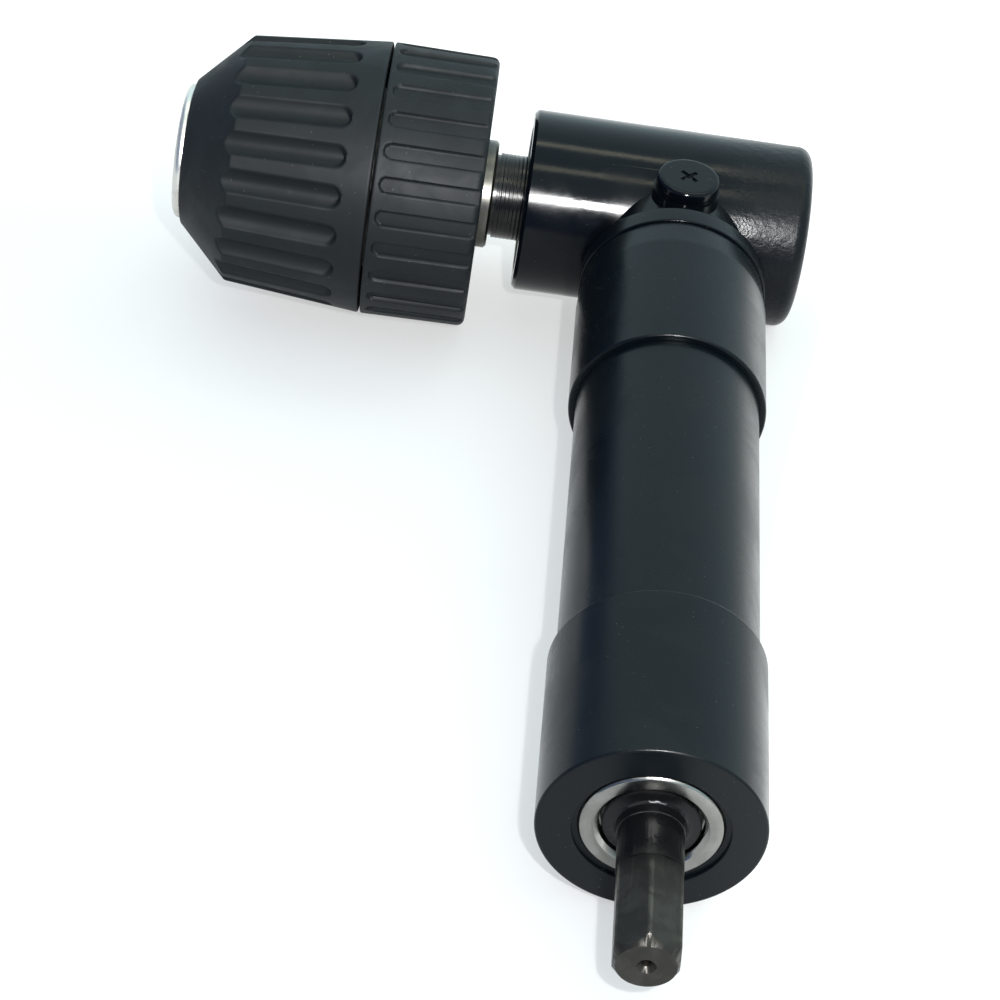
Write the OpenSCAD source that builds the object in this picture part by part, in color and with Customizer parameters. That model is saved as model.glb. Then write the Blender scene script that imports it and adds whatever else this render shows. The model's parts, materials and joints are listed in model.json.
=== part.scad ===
// Right angle drill attachment: a hex shank drives a bevel gear pair that turns a keyless chuck.
// The handle lies along Y, the chuck points along -X, and the free end of the shank is at the origin.

/* [Shank] */
// Width of the hex shank across its flats
hex_af = 8.4; // [7:0.1:8.8]
// Length of the hex part of the shank
hex_len = 14.6; // [14:0.2:19]
// Distance from the shank's free end to the face of the end collar
shank_out = 22; // [21:0.5:32]
// Angle from the top of the shank to its first corner, towards the chuck
hex_turn = 4.4; // [0:0.1:30]
// Chamfer at the shank's free end, along its axis
hex_chamfer = 1.3; // [0.6:0.1:2]
// Diameter of the centre-drilled hole at its mouth
center_hole_d = 2.6; // [1.6:0.2:4]
// Depth of the centre-drilled hole
center_hole_depth = 3; // [2.4:0.2:6]
// Diameter of the round neck behind the hex
neck_d = 8.8; // [8:0.2:10]
// Diameter of the shaft between its journals
shaft_d = 10.4; // [9:0.2:11.6]

/* [Shank bush] */
// Inside diameter of the bright bush in the end collar
bush_bore_d = 13.2; // [12.6:0.2:14]
// Outside diameter of that bush
bush_d = 19.2; // [18:0.2:20]
// Length of that bush
bush_len = 12.5; // [10:0.5:13]
// Bevel on the outside edge of the bush
bush_bevel = 0.3; // [0.2:0.1:0.6]
// Bevel at the mouth of the bush
bush_mouth = 0.6; // [0.4:0.1:0.8]
// Step of the bush's counterbore round the end of the journal
bush_relief = 0.35; // [0.2:0.05:0.5]
// Length of that counterbore behind the bevel
bush_relief_len = 1.5; // [1:0.1:3]
// How far the bush sits below the collar's face
bush_recess = 0.4; // [0.2:0.1:0.8]
// Width of the groove round the bush in the collar's face
bush_groove = 0.8; // [0.3:0.1:1]

/* [Handle] */
// Step from the grip tube up to the end collar
collar_step = 1.1; // [0.6:0.1:2.8]
// Length of the end collar
collar_len = 29.5; // [28:0.5:40]
// Length of grip tube that shows between the collars
tube_len = 55.5; // [40:0.5:80]
// Wall of the grip tube
tube_wall = 3.1; // [2.4:0.1:5]
// Length of the tenon at each end of the grip tube
tenon_len = 13; // [10:0.5:13.5]
// Step from the grip tube down to its tenons
tenon_step = 0.7; // [0.4:0.1:1]
// Step from the grip tube up to the neck sleeve
sleeve_step = 1.1; // [0.6:0.1:2.8]
// Length of the neck sleeve
sleeve_len = 29.8; // [29:0.2:36]
// Length of the tapered end of the neck sleeve
sleeve_taper_len = 5; // [3:0.5:8]
// Small bevel on the edges of the handle's turned parts
edge_bevel = 0.4; // [0.2:0.1:0.6]

/* [Head] */
// Wall of the head round the spindle bearing
head_wall = 3.1; // [2.2:0.1:4]
// Reach of the head towards the chuck, from the handle's axis
head_front = 25.6; // [25.2:0.2:26.4]
// Reach of the head away from the chuck, from the handle's axis
head_back = 21; // [20.6:0.1:26]
// Rounding of the head's closed end
head_round = 2.2; // [1:0.2:3]
// Bevel at the head's open end
head_bevel = 0.6; // [0.3:0.1:1]
// Distance from the output axis to the raised band on the neck
band_offset = 17.6; // [17.6:0.2:20]
// Length of the raised band
band_len = 3.6; // [2.4:0.2:5]
// Step from the grip tube up to the raised band
band_step = 0.5; // [0.2:0.1:1]
// Step from the grip tube down to the neck between the head and the band
neck_step = 1.3; // [0.2:0.1:1.5]
// Length of the head's tenon inside the neck sleeve
head_tenon_len = 16.2; // [15.8:0.2:16.4]
// Wall of that tenon round the shaft bearing
tenon_wall = 2.4; // [2:0.1:2.8]
// Room in the gear chamber round the gear on the spindle
chamber_room = 1.25; // [1:0.05:1.6]
// Distance from the output axis to the grease plug
plug_offset = 10.4; // [9.6:0.2:11.4]
// Diameter of the grease plug's head
plug_head_d = 10.2; // [9:0.2:11]
// Height of the grease plug's head
plug_head_h = 2.1; // [1.4:0.1:3]
// Thread diameter of the grease plug
plug_thread_d = 6; // [5:0.5:6.5]
// Height of the cast boss above the neck
boss_rise = 1; // [0.5:0.1:1.6]
// Thickness of the washer under the plug
plug_washer_t = 0.4; // [0.3:0.1:0.8]

/* [Bearings] */
// Bore of the shaft bearing
shaft_brg_bore = 10; // [9:0.5:10]
// Outside diameter of the shaft bearing
shaft_brg_od = 22; // [21.5:0.1:22.4]
// Bore of the spindle bearing
spindle_brg_bore = 12; // [11:0.5:12.5]
// Shoulder in the head in front of the shaft bearing
shaft_brg_shoulder = 0.8; // [0.6:0.1:1]
// Shoulder in the head behind the spindle bearing
spindle_brg_shoulder = 1; // [0.8:0.1:1.3]
// Width of both ball bearings
brg_width = 6; // [5.5:0.1:6.2]
// Thickness of the bearings' rings under and over the balls
race_wall = 1.25; // [1.2:0.05:1.5]
// Number of balls in the shaft bearing
shaft_ball_count = 9; // [7:1:10]
// Number of balls in the spindle bearing
spindle_ball_count = 10; // [8:1:11]
// Thickness of both circlips
circlip_t = 1; // [0.8:0.1:1.1]
// Depth of the circlips' grooves in the bore
circlip_depth = 0.5; // [0.3:0.1:0.7]
// Thickness of the dust seal
seal_t = 0.7; // [0.5:0.1:0.8]
// Outside diameter of the spindle bush
spindle_bush_d = 12; // [11:0.5:13]
// Length of the spindle bush
spindle_bush_len = 8; // [6:0.5:9]

/* [Gears] */
// Number of teeth on each bevel gear, an even number
gear_teeth = 14; // [12:2:18]
// Room between the small ends of the pinion's teeth and the spindle
gear_face_room = 1.35; // [1.2:0.05:2]
// Step from the roots of the teeth down to the hub
gear_hub_step = 0.4; // [0.3:0.1:0.8]
// Length of the pinion's hub behind its teeth
pinion_hub_len = 8.5; // [7:0.5:10]
// Diameter of the cross pins
pin_d = 2.5; // [2:0.1:3]
// Shaft diameter inside the bevel gears
gear_bore_d = 8; // [7:0.2:8.4]
// Room between the pinion's teeth and the bore round them
tooth_room = 0.45; // [0.3:0.05:0.6]

/* [Spindle] */
// Diameter of the ring-turned neck between head and chuck
collar_neck_d = 14.2; // [13:0.1:14.2]
// Depth of the fine grooves round that neck
ring_groove = 0.1; // [0.05:0.05:0.3]
// Number of grooves round that neck
ring_groove_count = 8; // [4:1:10]
// Diameter of the spindle's thread inside the chuck
spindle_thread_d = 12.7; // [12:0.1:12.9]
// Length of the spindle's thread inside the chuck
spindle_thread_len = 13.2; // [11:0.2:13.6]
// Gap between the head and the chuck's hub
chuck_gap = 5.2; // [4.6:0.2:8]

/* [Chuck body] */
// Length of the chuck body
chuck_len = 52.4; // [52:0.1:53.2]
// Diameter of the bright hub at the rear
hub_d = 18; // [16:0.2:18.6]
// Diameter of the seat that holds the rear sleeve
seat_d = 20; // [19:0.2:21]
// Diameter of the body's thrust flange
flange_d = 30; // [29.4:0.1:31]
// Distance from the body's nose to the face that takes the balls
flange_depth = 27.2; // [27:0.1:27.4]
// Diameter of the body's nose
nose_d = 21.2; // [20.8:0.1:21.6]
// Diameter of the body's waist, inside the nut
waist_d = 16.4; // [15.6:0.1:16.8]
// Length of the rear sleeve's seat in front of the sleeve's end wall
seat_extra = 1.6; // [1:0.2:2.4]
// Diameter of the bore that takes the tool's shank
tool_bore_d = 10.6; // [10.2:0.1:10.6]
// Length of the guide land at the mouth of that bore
tool_land_len = 4.4; // [3:0.2:4.4]
// Relief of the bore behind the land
tool_relief = 0.5; // [0.4:0.1:0.6]
// Distance from the body's rear face to the bottom of that bore
tool_bore_floor = 16; // [15.6:0.1:17]
// Width of the bright nose ring, along the axis
nose_ring_len = 1.3; // [1:0.1:1.6]
// Diameter of the bright nose ring
nose_ring_d = 22.4; // [22:0.2:24.4]
// Wall of the nose ring
nose_ring_wall = 1.3; // [1.2:0.1:1.8]
// Thread diameter of the screw that holds the chuck
chuck_screw_d = 5; // [4:0.5:5.5]
// Head diameter of that screw
chuck_screw_head_d = 8.6; // [8:0.2:9.4]
// Head height of that screw
chuck_screw_head_h = 2.8; // [2:0.2:3.6]
// Length of that screw under its head
chuck_screw_len = 14; // [11:0.5:14.5]

/* [Jaws] */
// Angle between a jaw and the chuck's axis, in degrees
jaw_angle = 16; // [15.8:0.1:16.2]
// Diameter of a jaw
jaw_d = 6.2; // [5.8:0.1:6.3]
// Room between the open jaws and the rear sleeve's end wall
jaw_rear_room = 4.4; // [3.4:0.2:6.4]
// Radius left between the closed jaws
jaw_closed_r = 0.4; // [0.3:0.05:0.5]
// Radius between the open jaws
jaw_open_r = 5.4; // [5.35:0.05:5.5]
// Distance that the closed jaws stand out of the nose
jaw_reach = 1.8; // [1:0.1:2.4]
// Distance from the chuck's axis to the middle of a closed jaw's tip
jaw_tip_r = 0.2; // [0.1:0.05:0.4]
// Pitch of the thread teeth on the jaws
jaw_pitch = 1.75; // [1.5:0.05:2]
// Depth of the thread teeth on the jaws
jaw_tooth_depth = 0.7; // [0.4:0.1:0.9]
// Number of thread teeth on a jaw
jaw_tooth_count = 12; // [6:1:12]

/* [Nut] */
// Length of the split nut
nut_len = 8.4; // [7:0.2:9]
// Wall of the cup round the nut
cup_wall = 0.95; // [0.7:0.05:1.1]
// Length of the cup's front lip
cup_lip = 0.8; // [0.5:0.1:1]
// Diameter of the thrust balls behind the nut
nut_ball_d = 2; // [1.8:0.05:2.1]
// Diameter of the circle on which those balls run
nut_ball_circle = 26.6; // [26.4:0.1:27]
// Number of those balls
nut_ball_count = 24; // [16:1:28]
// Thickness of those balls' cage
nut_cage_t = 0.7; // [0.5:0.1:0.9]
// Rim of the cage beside the balls
nut_cage_rim = 0.3; // [0.2:0.05:0.35]
// Width of the slits between the nut's two halves
nut_slit = 0.4; // [0.2:0.1:0.8]

/* [Sleeves] */
// Diameter of the chuck where the two sleeves meet
chuck_d = 45.4; // [44.4:0.2:48]
// Step that the rear sleeve tapers in towards its rear edge
rear_taper = 0.2; // [0:0.1:0.6]
// Distance from the body's rear face to the rear sleeve
rear_sleeve_start = 1.8; // [1.4:0.2:2.4]
// Length of the rear sleeve
rear_sleeve_len = 17.5; // [16.9:0.1:17.9]
// Thickness of the rear sleeve's end wall
rear_sleeve_floor = 3.6; // [3:0.2:4]
// Wall of the rear sleeve
rear_sleeve_wall = 2.3; // [1.8:0.1:2.5]
// Rounding of the rear sleeve's rear edge
rear_sleeve_round = 1.2; // [0.6:0.2:1.8]
// Gap between the two sleeves
sleeve_gap = 0.4; // [0.3:0.1:0.6]
// Step that the front sleeve tapers in towards its nose
front_taper = 2.2; // [1.6:0.1:3]
// Width of the front sleeve's rim, where its 45 degree nose ends
nose_rim = 1.5; // [1.2:0.1:2.8]
// Number of flutes round the front sleeve
flute_count = 21; // [14:1:22]
// Width of a flute
flute_width = 4.2; // [3:0.1:4.6]
// Depth of a flute
flute_depth = 1.2; // [0.6:0.1:1.4]
// Distance from the front sleeve's rear edge to the flutes
flute_start = 4.4; // [3.4:0.2:8]
// Angle from the top of the front sleeve to its first flute, towards the shank's end
flute_phase = 14.2; // [0:0.1:17]
// Number of panels round the rear sleeve
panel_count = 26; // [18:1:28]
// Width of a panel
panel_width = 2.6; // [2:0.1:3.2]
// Depth of a panel
panel_depth = 0.45; // [0.2:0.05:0.7]
// Distance from the rear sleeve's front edge to the panels
panel_start = 1; // [0.8:0.1:4]
// Angle from the top of the rear sleeve to its first panel, towards the shank's end
panel_phase = 2; // [0:0.1:13]
// Clearance between the front sleeve's nose and the body
nose_clearance = 0.1; // [0.06:0.02:0.2]

/* [Fits] */
// Radial clearance where a part turns on another
running_gap = 0.05; // [0.02:0.01:0.08]
// Radial clearance left in a pressed or screwed joint
press_gap = 0.02; // [0.01:0.01:0.03]
// Clearance along an axis between parts that turn past each other
side_gap = 0.15; // [0.1:0.05:0.2]

/* [Hidden] */
$fn = 96;
// Overrun of every cut past the face that it opens
overrun = 1;
paint = "#17181a";
plastic = "#2b2d30";
phosphate = "#3a3734";
bright = "#c9cbcd";
bronze = "#9a7a45";

// The pinion passes through the shoulder in front of the shaft bearing, and sets the size of the
// gears. The heights of their teeth are shares of the module.
addendum_share = 0.8;
dedendum_share = 1.1;
shaft_bore_r = shaft_brg_od / 2 - shaft_brg_shoulder;
pitch_r = (shaft_bore_r - tooth_room) / (1 + 2 * addendum_share / gear_teeth);
gear_module = 2 * pitch_r / gear_teeth;
addendum = gear_module * addendum_share;
dedendum = gear_module * dedendum_share;
gear_face = pitch_r - gear_bore_d / 2 - gear_face_room;
gear_hub_d = 2 * (pitch_r - dedendum - gear_hub_step);

// The head is as wide as the chamber round the gears, the spindle bearing and its wall
chamber_r = pitch_r + addendum + chamber_room;
spindle_brg_od = 2 * (chamber_r + spindle_brg_shoulder);
head_d = spindle_brg_od + 2 * head_wall;

// The handle is as wide as the tenon that holds the shaft bearing
tenon_r = shaft_brg_od / 2 + tenon_wall;
tube_d = 2 * (tenon_r + tenon_step);
tube_bore_d = tube_d - 2 * tube_wall;
collar_d = tube_d + 2 * collar_step;
sleeve_d = tube_d + 2 * sleeve_step;
band_d = tube_d + 2 * band_step;
neck_root_d = tube_d - 2 * neck_step;

// Places along the handle, from the free end of the shank
collar_face = shank_out;
collar_end = collar_face + collar_len;
tube_end = collar_end + tube_len;
sleeve_end = tube_end + sleeve_len;
axis_y = sleeve_end + band_len + band_offset;
head_tenon_end = sleeve_end - head_tenon_len;
bush_face = collar_face + bush_recess;
bush_end = bush_face + bush_len;
// Shaft bearing, seated on a shoulder inside the head's tenon
shaft_clip_start = head_tenon_end + circlip_t;
shaft_brg_start = shaft_clip_start + circlip_t + press_gap;
shaft_brg_end = shaft_brg_start + brg_width;

// Places along the output axis, from the handle's axis towards the chuck
seal_face = head_front - press_gap;
spindle_clip_start = seal_face - seal_t - circlip_t - press_gap;
spindle_brg_end = spindle_clip_start - press_gap;
spindle_brg_start = spindle_brg_end - brg_width;
spindle_bush_start = chamber_r;
hub_face = head_front + chuck_gap;
journal_r = spindle_brg_bore / 2;

// Places along the chuck, from its body's rear face
rear_sleeve_end = rear_sleeve_start + rear_sleeve_len;
front_sleeve_start = rear_sleeve_end + sleeve_gap;
front_sleeve_end = chuck_len - nose_ring_len - side_gap;
chuck_rear_d = chuck_d - 2 * rear_taper;
knee_d = chuck_d - 2 * front_taper;
nose_cone_len = (knee_d - nose_d) / 2 - nose_rim;
knee = front_sleeve_end - nose_cone_len;
flange_face = chuck_len - flange_depth;
nut_start = flange_face + nut_ball_d + 2 * press_gap;
nut_end = nut_start + nut_len;
nut_cage_wall = nut_ball_d / 2 + running_gap + nut_cage_rim;
nut_r = nut_ball_circle / 2 + nut_cage_wall + running_gap;
cup_r = nut_r + press_gap + cup_wall;
jaw_travel = (jaw_open_r - jaw_closed_r) / sin(jaw_angle);
jaw_tip = chuck_len + jaw_reach;
jaw_end = rear_sleeve_start + rear_sleeve_floor + jaw_rear_room;
jaw_len = jaw_tip - jaw_travel * cos(jaw_angle) - jaw_end;
thread_floor = spindle_thread_len + side_gap;

function jaw_axis_r(place) = jaw_tip_r + (jaw_tip - place) * tan(jaw_angle);
function jaw_edge_r(place) = jaw_axis_r(place) + jaw_d / 2 / cos(jaw_angle);
flute_slope = atan((chuck_d - knee_d) / 2 / (knee - front_sleeve_start));

module along_handle(place = 0) translate([0, place, 0]) rotate([-90, 0, 0]) children();

module along_output(place = 0) translate([-place, axis_y, 0]) rotate([0, -90, 0]) children();

module turned(points) rotate_extrude() polygon(points);

// A tube from one place to another along its axis
module ring(outer_r, inner_r, start, end) {
    turned([[inner_r, start], [outer_r, start], [outer_r, end], [inner_r, end]]);
}

// A bore from one place to another along its axis
module bore(r, start, end) translate([0, 0, start]) cylinder(r = r, h = end - start);

// Grease plug, washer and boss stand on the neck, above the place where the gears mesh
boss_top = neck_root_d / 2 + boss_rise;
plug_seat = boss_top + plug_washer_t;

module above_plug(height) translate([0, axis_y - plug_offset, height]) children();

module gear_head() color(paint) difference() {
    union() {
        along_output() turned([
            [0, -head_back],
            [head_d / 2 - head_round, -head_back],
            for (a = [0:15:90]) [head_d / 2 - head_round + head_round * sin(a),
                -head_back + head_round - head_round * cos(a)],
            [head_d / 2, head_front - head_bevel],
            [head_d / 2 - head_bevel, head_front],
            [0, head_front]
        ]);
        along_handle() turned([
            [0, head_tenon_end],
            [tenon_r, head_tenon_end],
            [tenon_r, sleeve_end],
            [band_d / 2, sleeve_end],
            [band_d / 2, sleeve_end + band_len - edge_bevel],
            [band_d / 2 - edge_bevel, sleeve_end + band_len],
            [neck_root_d / 2, sleeve_end + band_len],
            [neck_root_d / 2, axis_y],
            [0, axis_y]
        ]);
        translate([0, axis_y - plug_offset, 0]) cylinder(d = plug_head_d, h = boss_top);
    }
    along_output() {
        bore(chamber_r, -chamber_r, spindle_brg_start + overrun);
        bore(spindle_brg_od / 2 + press_gap, spindle_brg_start, head_front + overrun);
        bore(spindle_brg_od / 2 + circlip_depth, spindle_clip_start, spindle_clip_start + circlip_t);
        bore(spindle_bush_d / 2 + press_gap, -spindle_bush_start - spindle_bush_len, 0);
    }
    along_handle() {
        bore(shaft_bore_r, head_tenon_end - overrun, axis_y);
        bore(shaft_brg_od / 2 + press_gap, head_tenon_end - overrun, shaft_brg_end);
        bore(shaft_brg_od / 2 + circlip_depth, shaft_clip_start, shaft_clip_start + circlip_t);
    }
    above_plug(0) cylinder(d = plug_thread_d + 2 * press_gap, h = boss_top + overrun);
    above_plug(boss_top) cylinder(d = plug_head_d + 2 * press_gap, h = plug_washer_t + plug_head_h);
}

plug_slot_share = 0.32;
plug_slot_wide_share = 0.09;
module grease_plug() color(paint) above_plug(plug_seat) difference() {
    union() {
        turned([
            [0, 0],
            [plug_head_d / 2, 0],
            [plug_head_d / 2, plug_head_h - edge_bevel],
            [plug_head_d / 2 - edge_bevel, plug_head_h],
            [0, plug_head_h]
        ]);
        translate([0, 0, -plug_stem_len]) cylinder(d = plug_thread_d, h = plug_stem_len + edge_bevel);
    }
    for (a = [0, 90]) rotate([0, 0, a + 45]) translate([0, 0, plug_head_h]) cube([
        plug_head_d * plug_slot_share,
        plug_head_d * plug_slot_wide_share,
        plug_head_h
    ], center = true);
}
plug_stem_len = plug_seat - shaft_bore_r - side_gap;

module plug_washer() color("#b5653a") above_plug(boss_top) {
    ring(plug_head_d / 2 - press_gap, plug_thread_d / 2 + press_gap, 0, plug_washer_t);
}

module neck_sleeve() color(paint) along_handle() turned([
    [tenon_r + press_gap, tube_end],
    [sleeve_d / 2 - edge_bevel, tube_end],
    [sleeve_d / 2, tube_end + edge_bevel],
    [sleeve_d / 2, sleeve_end - sleeve_taper_len],
    [band_d / 2 - edge_bevel, sleeve_end],
    [tenon_r + press_gap, sleeve_end]
]);

module handle_tube() color(paint) along_handle() turned([
    [tube_bore_d / 2, collar_end - tenon_len],
    [tenon_r, collar_end - tenon_len],
    [tenon_r, collar_end],
    [tube_d / 2, collar_end],
    [tube_d / 2, tube_end],
    [tenon_r, tube_end],
    [tenon_r, tube_end + tenon_len],
    [tube_bore_d / 2, tube_end + tenon_len]
]);

module end_collar() color(paint) along_handle() difference() {
    turned([
        [0, collar_face],
        [collar_d / 2 - edge_bevel, collar_face],
        [collar_d / 2, collar_face + edge_bevel],
        [collar_d / 2, collar_end - edge_bevel],
        [collar_d / 2 - edge_bevel, collar_end],
        [0, collar_end]
    ]);
    bore(tenon_r + press_gap, collar_end - tenon_len, collar_end + overrun);
    bore(bush_d / 2 + bush_groove, collar_face - overrun, bush_face + bush_recess);
    bore(bush_d / 2 + press_gap, collar_face - overrun, bush_end);
    bore(bush_bore_d / 2 + bush_groove, bush_end - overrun, collar_end);
}

module shaft_bush() color(bright) along_handle() turned([
    [bush_bore_d / 2 + bush_relief + bush_mouth, bush_face],
    [bush_d / 2 - bush_bevel, bush_face],
    [bush_d / 2, bush_face + bush_bevel],
    [bush_d / 2, bush_end],
    [bush_bore_d / 2, bush_end],
    [bush_bore_d / 2, bush_face + bush_mouth + bush_relief_len],
    [bush_bore_d / 2 + bush_relief, bush_face + bush_mouth + bush_relief_len],
    [bush_bore_d / 2 + bush_relief, bush_face + bush_mouth]
]);

shaft_front_end = axis_y - (pitch_r - gear_face) - side_gap;
journal_face = bush_face + bush_mouth;
module input_shaft() color(phosphate) along_handle() difference() {
    union() {
        intersection() {
            rotate([0, 0, 30 - hex_turn]) cylinder(d = hex_af / cos(30), h = shank_out, $fn = 6);
            turned([
                [0, 0],
                [hex_af / 2 - hex_chamfer / 4, 0],
                [hex_af / 2 + hex_chamfer, hex_chamfer * 2],
                [hex_af / 2 + hex_chamfer, hex_len - hex_chamfer],
                [neck_d / 2, hex_len],
                [neck_d / 2 - edge_bevel, hex_len + overrun],
                [0, hex_len + overrun]
            ]);
        }
        turned([
            [0, hex_len],
            [neck_d / 2, hex_len],
            [neck_d / 2, journal_face - edge_bevel],
            [neck_d / 2 + edge_bevel, journal_face],
            [bush_bore_d / 2 - running_gap, journal_face],
            [bush_bore_d / 2 - running_gap, bush_end + side_gap],
            [shaft_d / 2, bush_end + side_gap + edge_bevel],
            [shaft_d / 2, shaft_brg_start - brg_width],
            [shaft_shoulder_r, shaft_brg_start - brg_width],
            [shaft_shoulder_r, shaft_brg_start],
            [shaft_brg_bore / 2 - press_gap, shaft_brg_start],
            [shaft_brg_bore / 2 - press_gap, shaft_brg_end],
            [gear_bore_d / 2 - press_gap, shaft_brg_end],
            [gear_bore_d / 2 - press_gap, shaft_front_end],
            [0, shaft_front_end]
        ]);
    }
    turned([
        [0, -overrun],
        [center_hole_d / 2 + overrun, -overrun],
        [0, center_hole_d / 2]
    ]);
    bore(center_hole_d / 4, -overrun, center_hole_depth);
    translate([0, 0, pinion_pin_y]) rotate([0, 0, half_tooth]) rotate([0, 90, 0]) {
        cylinder(d = pin_d + 2 * press_gap, h = shaft_d, center = true);
    }
}

// Both ball bearings: the balls run on the middle circle, with a little play in the races
race_gap = press_gap;
land_share = 0.6;

function brg_ball_d(bore, od) = (od - bore) / 2 - 2 * race_wall;
function brg_pitch_r(bore, od) = (od + bore) / 4;
shaft_shoulder_r = shaft_brg_bore / 2 + race_wall;

module race_groove(bore, od) rotate_extrude() translate([brg_pitch_r(bore, od), 0]) {
    circle(r = brg_ball_d(bore, od) / 2 + race_gap);
}

module outer_ring(bore, od) color(bright) difference() {
    land = brg_ball_d(bore, od) / 2 * land_share;
    ring(od / 2, brg_pitch_r(bore, od) + land, -brg_width / 2, brg_width / 2);
    race_groove(bore, od);
}

module inner_ring(bore, od) color(bright) difference() {
    land = brg_ball_d(bore, od) / 2 * land_share;
    ring(brg_pitch_r(bore, od) - land, bore / 2, -brg_width / 2, brg_width / 2);
    race_groove(bore, od);
}

module around_balls(bore, od, count) for (i = [0:count - 1]) rotate([0, 0, 360 * i / count]) {
    translate([brg_pitch_r(bore, od), 0, 0]) children();
}

module brg_balls(bore, od, count) color(bright) around_balls(bore, od, count) {
    sphere(d = brg_ball_d(bore, od));
}

cage_wall_share = 0.3;
cage_width_share = 1.35;
module brg_cage(bore, od, count) color(bronze) difference() {
    ball_d = brg_ball_d(bore, od);
    half_wall = ball_d * cage_wall_share / 2;
    half_width = ball_d * cage_width_share / 2;
    ring(brg_pitch_r(bore, od) + half_wall, brg_pitch_r(bore, od) - half_wall, -half_width, half_width);
    around_balls(bore, od, count) rotate([0, 90, 0]) {
        cylinder(d = ball_d + 2 * running_gap, h = ball_d, center = true);
    }
}

shaft_brg_mid = shaft_brg_start + brg_width / 2;
module shaft_bearing_outer_ring() along_handle(shaft_brg_mid) outer_ring(shaft_brg_bore, shaft_brg_od);
module shaft_bearing_inner_ring() along_handle(shaft_brg_mid) inner_ring(shaft_brg_bore, shaft_brg_od);
module shaft_bearing_balls() along_handle(shaft_brg_mid) {
    brg_balls(shaft_brg_bore, shaft_brg_od, shaft_ball_count);
}
module shaft_bearing_cage() along_handle(shaft_brg_mid) {
    brg_cage(shaft_brg_bore, shaft_brg_od, shaft_ball_count);
}

spindle_brg_mid = spindle_brg_start + brg_width / 2;
module spindle_bearing_outer_ring() along_output(spindle_brg_mid) outer_ring(spindle_brg_bore, spindle_brg_od);
module spindle_bearing_inner_ring() along_output(spindle_brg_mid) inner_ring(spindle_brg_bore, spindle_brg_od);
module spindle_bearing_balls() along_output(spindle_brg_mid) {
    brg_balls(spindle_brg_bore, spindle_brg_od, spindle_ball_count);
}
module spindle_bearing_cage() along_output(spindle_brg_mid) {
    brg_cage(spindle_brg_bore, spindle_brg_od, spindle_ball_count);
}

// An internal circlip: a ring open over a small angle, with a drilled lug at each end
clip_wall_share = 0.09;
clip_hole_share = 0.4;
clip_open_angle = 30;
clip_lug_angle = 5;
module circlip(bore_d) color(phosphate) difference() {
    clip_r = bore_d / 2 + circlip_depth - press_gap;
    lug_r = bore_d * clip_wall_share;
    union() {
        ring(clip_r, bore_d / 2 - bore_d * clip_wall_share, 0, circlip_t);
        for (side = [-1, 1]) rotate([0, 0, side * (clip_open_angle / 2 + clip_lug_angle)]) {
            translate([bore_d / 2 - lug_r, 0, 0]) cylinder(r = lug_r, h = circlip_t);
        }
    }
    translate([0, 0, -overrun]) linear_extrude(height = circlip_t + 2 * overrun) polygon([
        [0, 0],
        [bore_d * cos(clip_open_angle / 2), -bore_d * sin(clip_open_angle / 2)],
        [bore_d * cos(clip_open_angle / 2), bore_d * sin(clip_open_angle / 2)]
    ]);
    for (side = [-1, 1]) rotate([0, 0, side * (clip_open_angle / 2 + clip_lug_angle)]) {
        translate([bore_d / 2 - lug_r, 0, -overrun]) cylinder(r = lug_r * clip_hole_share, h = circlip_t + 2 * overrun);
    }
}

module shaft_circlip() along_handle(shaft_clip_start) circlip(shaft_brg_od);
module spindle_circlip() along_output(spindle_clip_start) circlip(spindle_brg_od);

module dust_seal() color("#111111") along_output() ring(spindle_brg_od / 2 - press_gap,
    collar_neck_d / 2 + running_gap, seal_face - seal_t, seal_face);

module spindle_bush() color(bronze) along_output() ring(spindle_bush_d / 2, gear_bore_d / 2 + running_gap,
    -spindle_bush_start - spindle_bush_len + press_gap, -spindle_bush_start);

// Straight bevel gear whose teeth all run to the crossing of the two axes. Its large end is at
// height zero and its small end above it. The half widths of a tooth are shares of one pitch.
tip_share = 0.11;
mid_share = 0.21;
root_share = 0.33;
module bevel_teeth() linear_extrude(height = gear_face, scale = (pitch_r - gear_face) / pitch_r) polygon([
    for (i = [0:gear_teeth - 1]) for (p = [
        [pitch_r - dedendum, -root_share],
        [pitch_r, -mid_share],
        [pitch_r + addendum, -tip_share],
        [pitch_r + addendum, tip_share],
        [pitch_r, mid_share],
        [pitch_r - dedendum, root_share]
    ]) p[0] * [cos((i + p[1]) * 360 / gear_teeth), sin((i + p[1]) * 360 / gear_teeth)]
]);

module bevel(hub_len, pin_place) color(phosphate) difference() {
    union() {
        bevel_teeth();
        bore(gear_hub_d / 2, -hub_len, 0);
    }
    bore(gear_bore_d / 2 + press_gap, -hub_len - overrun, gear_face + overrun);
    translate([0, 0, -pin_place]) rotate([0, 90, 0]) cylinder(d = pin_d + 2 * press_gap, h = gear_hub_d * 2,
        center = true);
}

pinion_pin_y = axis_y - pitch_r - pinion_hub_len / 2;
gear_hub_len = spindle_brg_start - pitch_r;
gear_pin_place = pitch_r + gear_hub_len / 2;
half_tooth = 180 / gear_teeth;

module bevel_pinion() along_handle(axis_y - pitch_r) rotate([0, 0, half_tooth]) {
    bevel(pinion_hub_len, pinion_hub_len / 2);
}
module bevel_gear() along_output(pitch_r) rotate([0, 180, 0]) rotate([0, 0, 90]) {
    bevel(gear_hub_len, gear_hub_len / 2);
}

module pinion_spacer() color(bright) along_handle() ring(gear_hub_d / 2, gear_bore_d / 2 + press_gap,
    shaft_brg_end, axis_y - pitch_r - pinion_hub_len);

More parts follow.
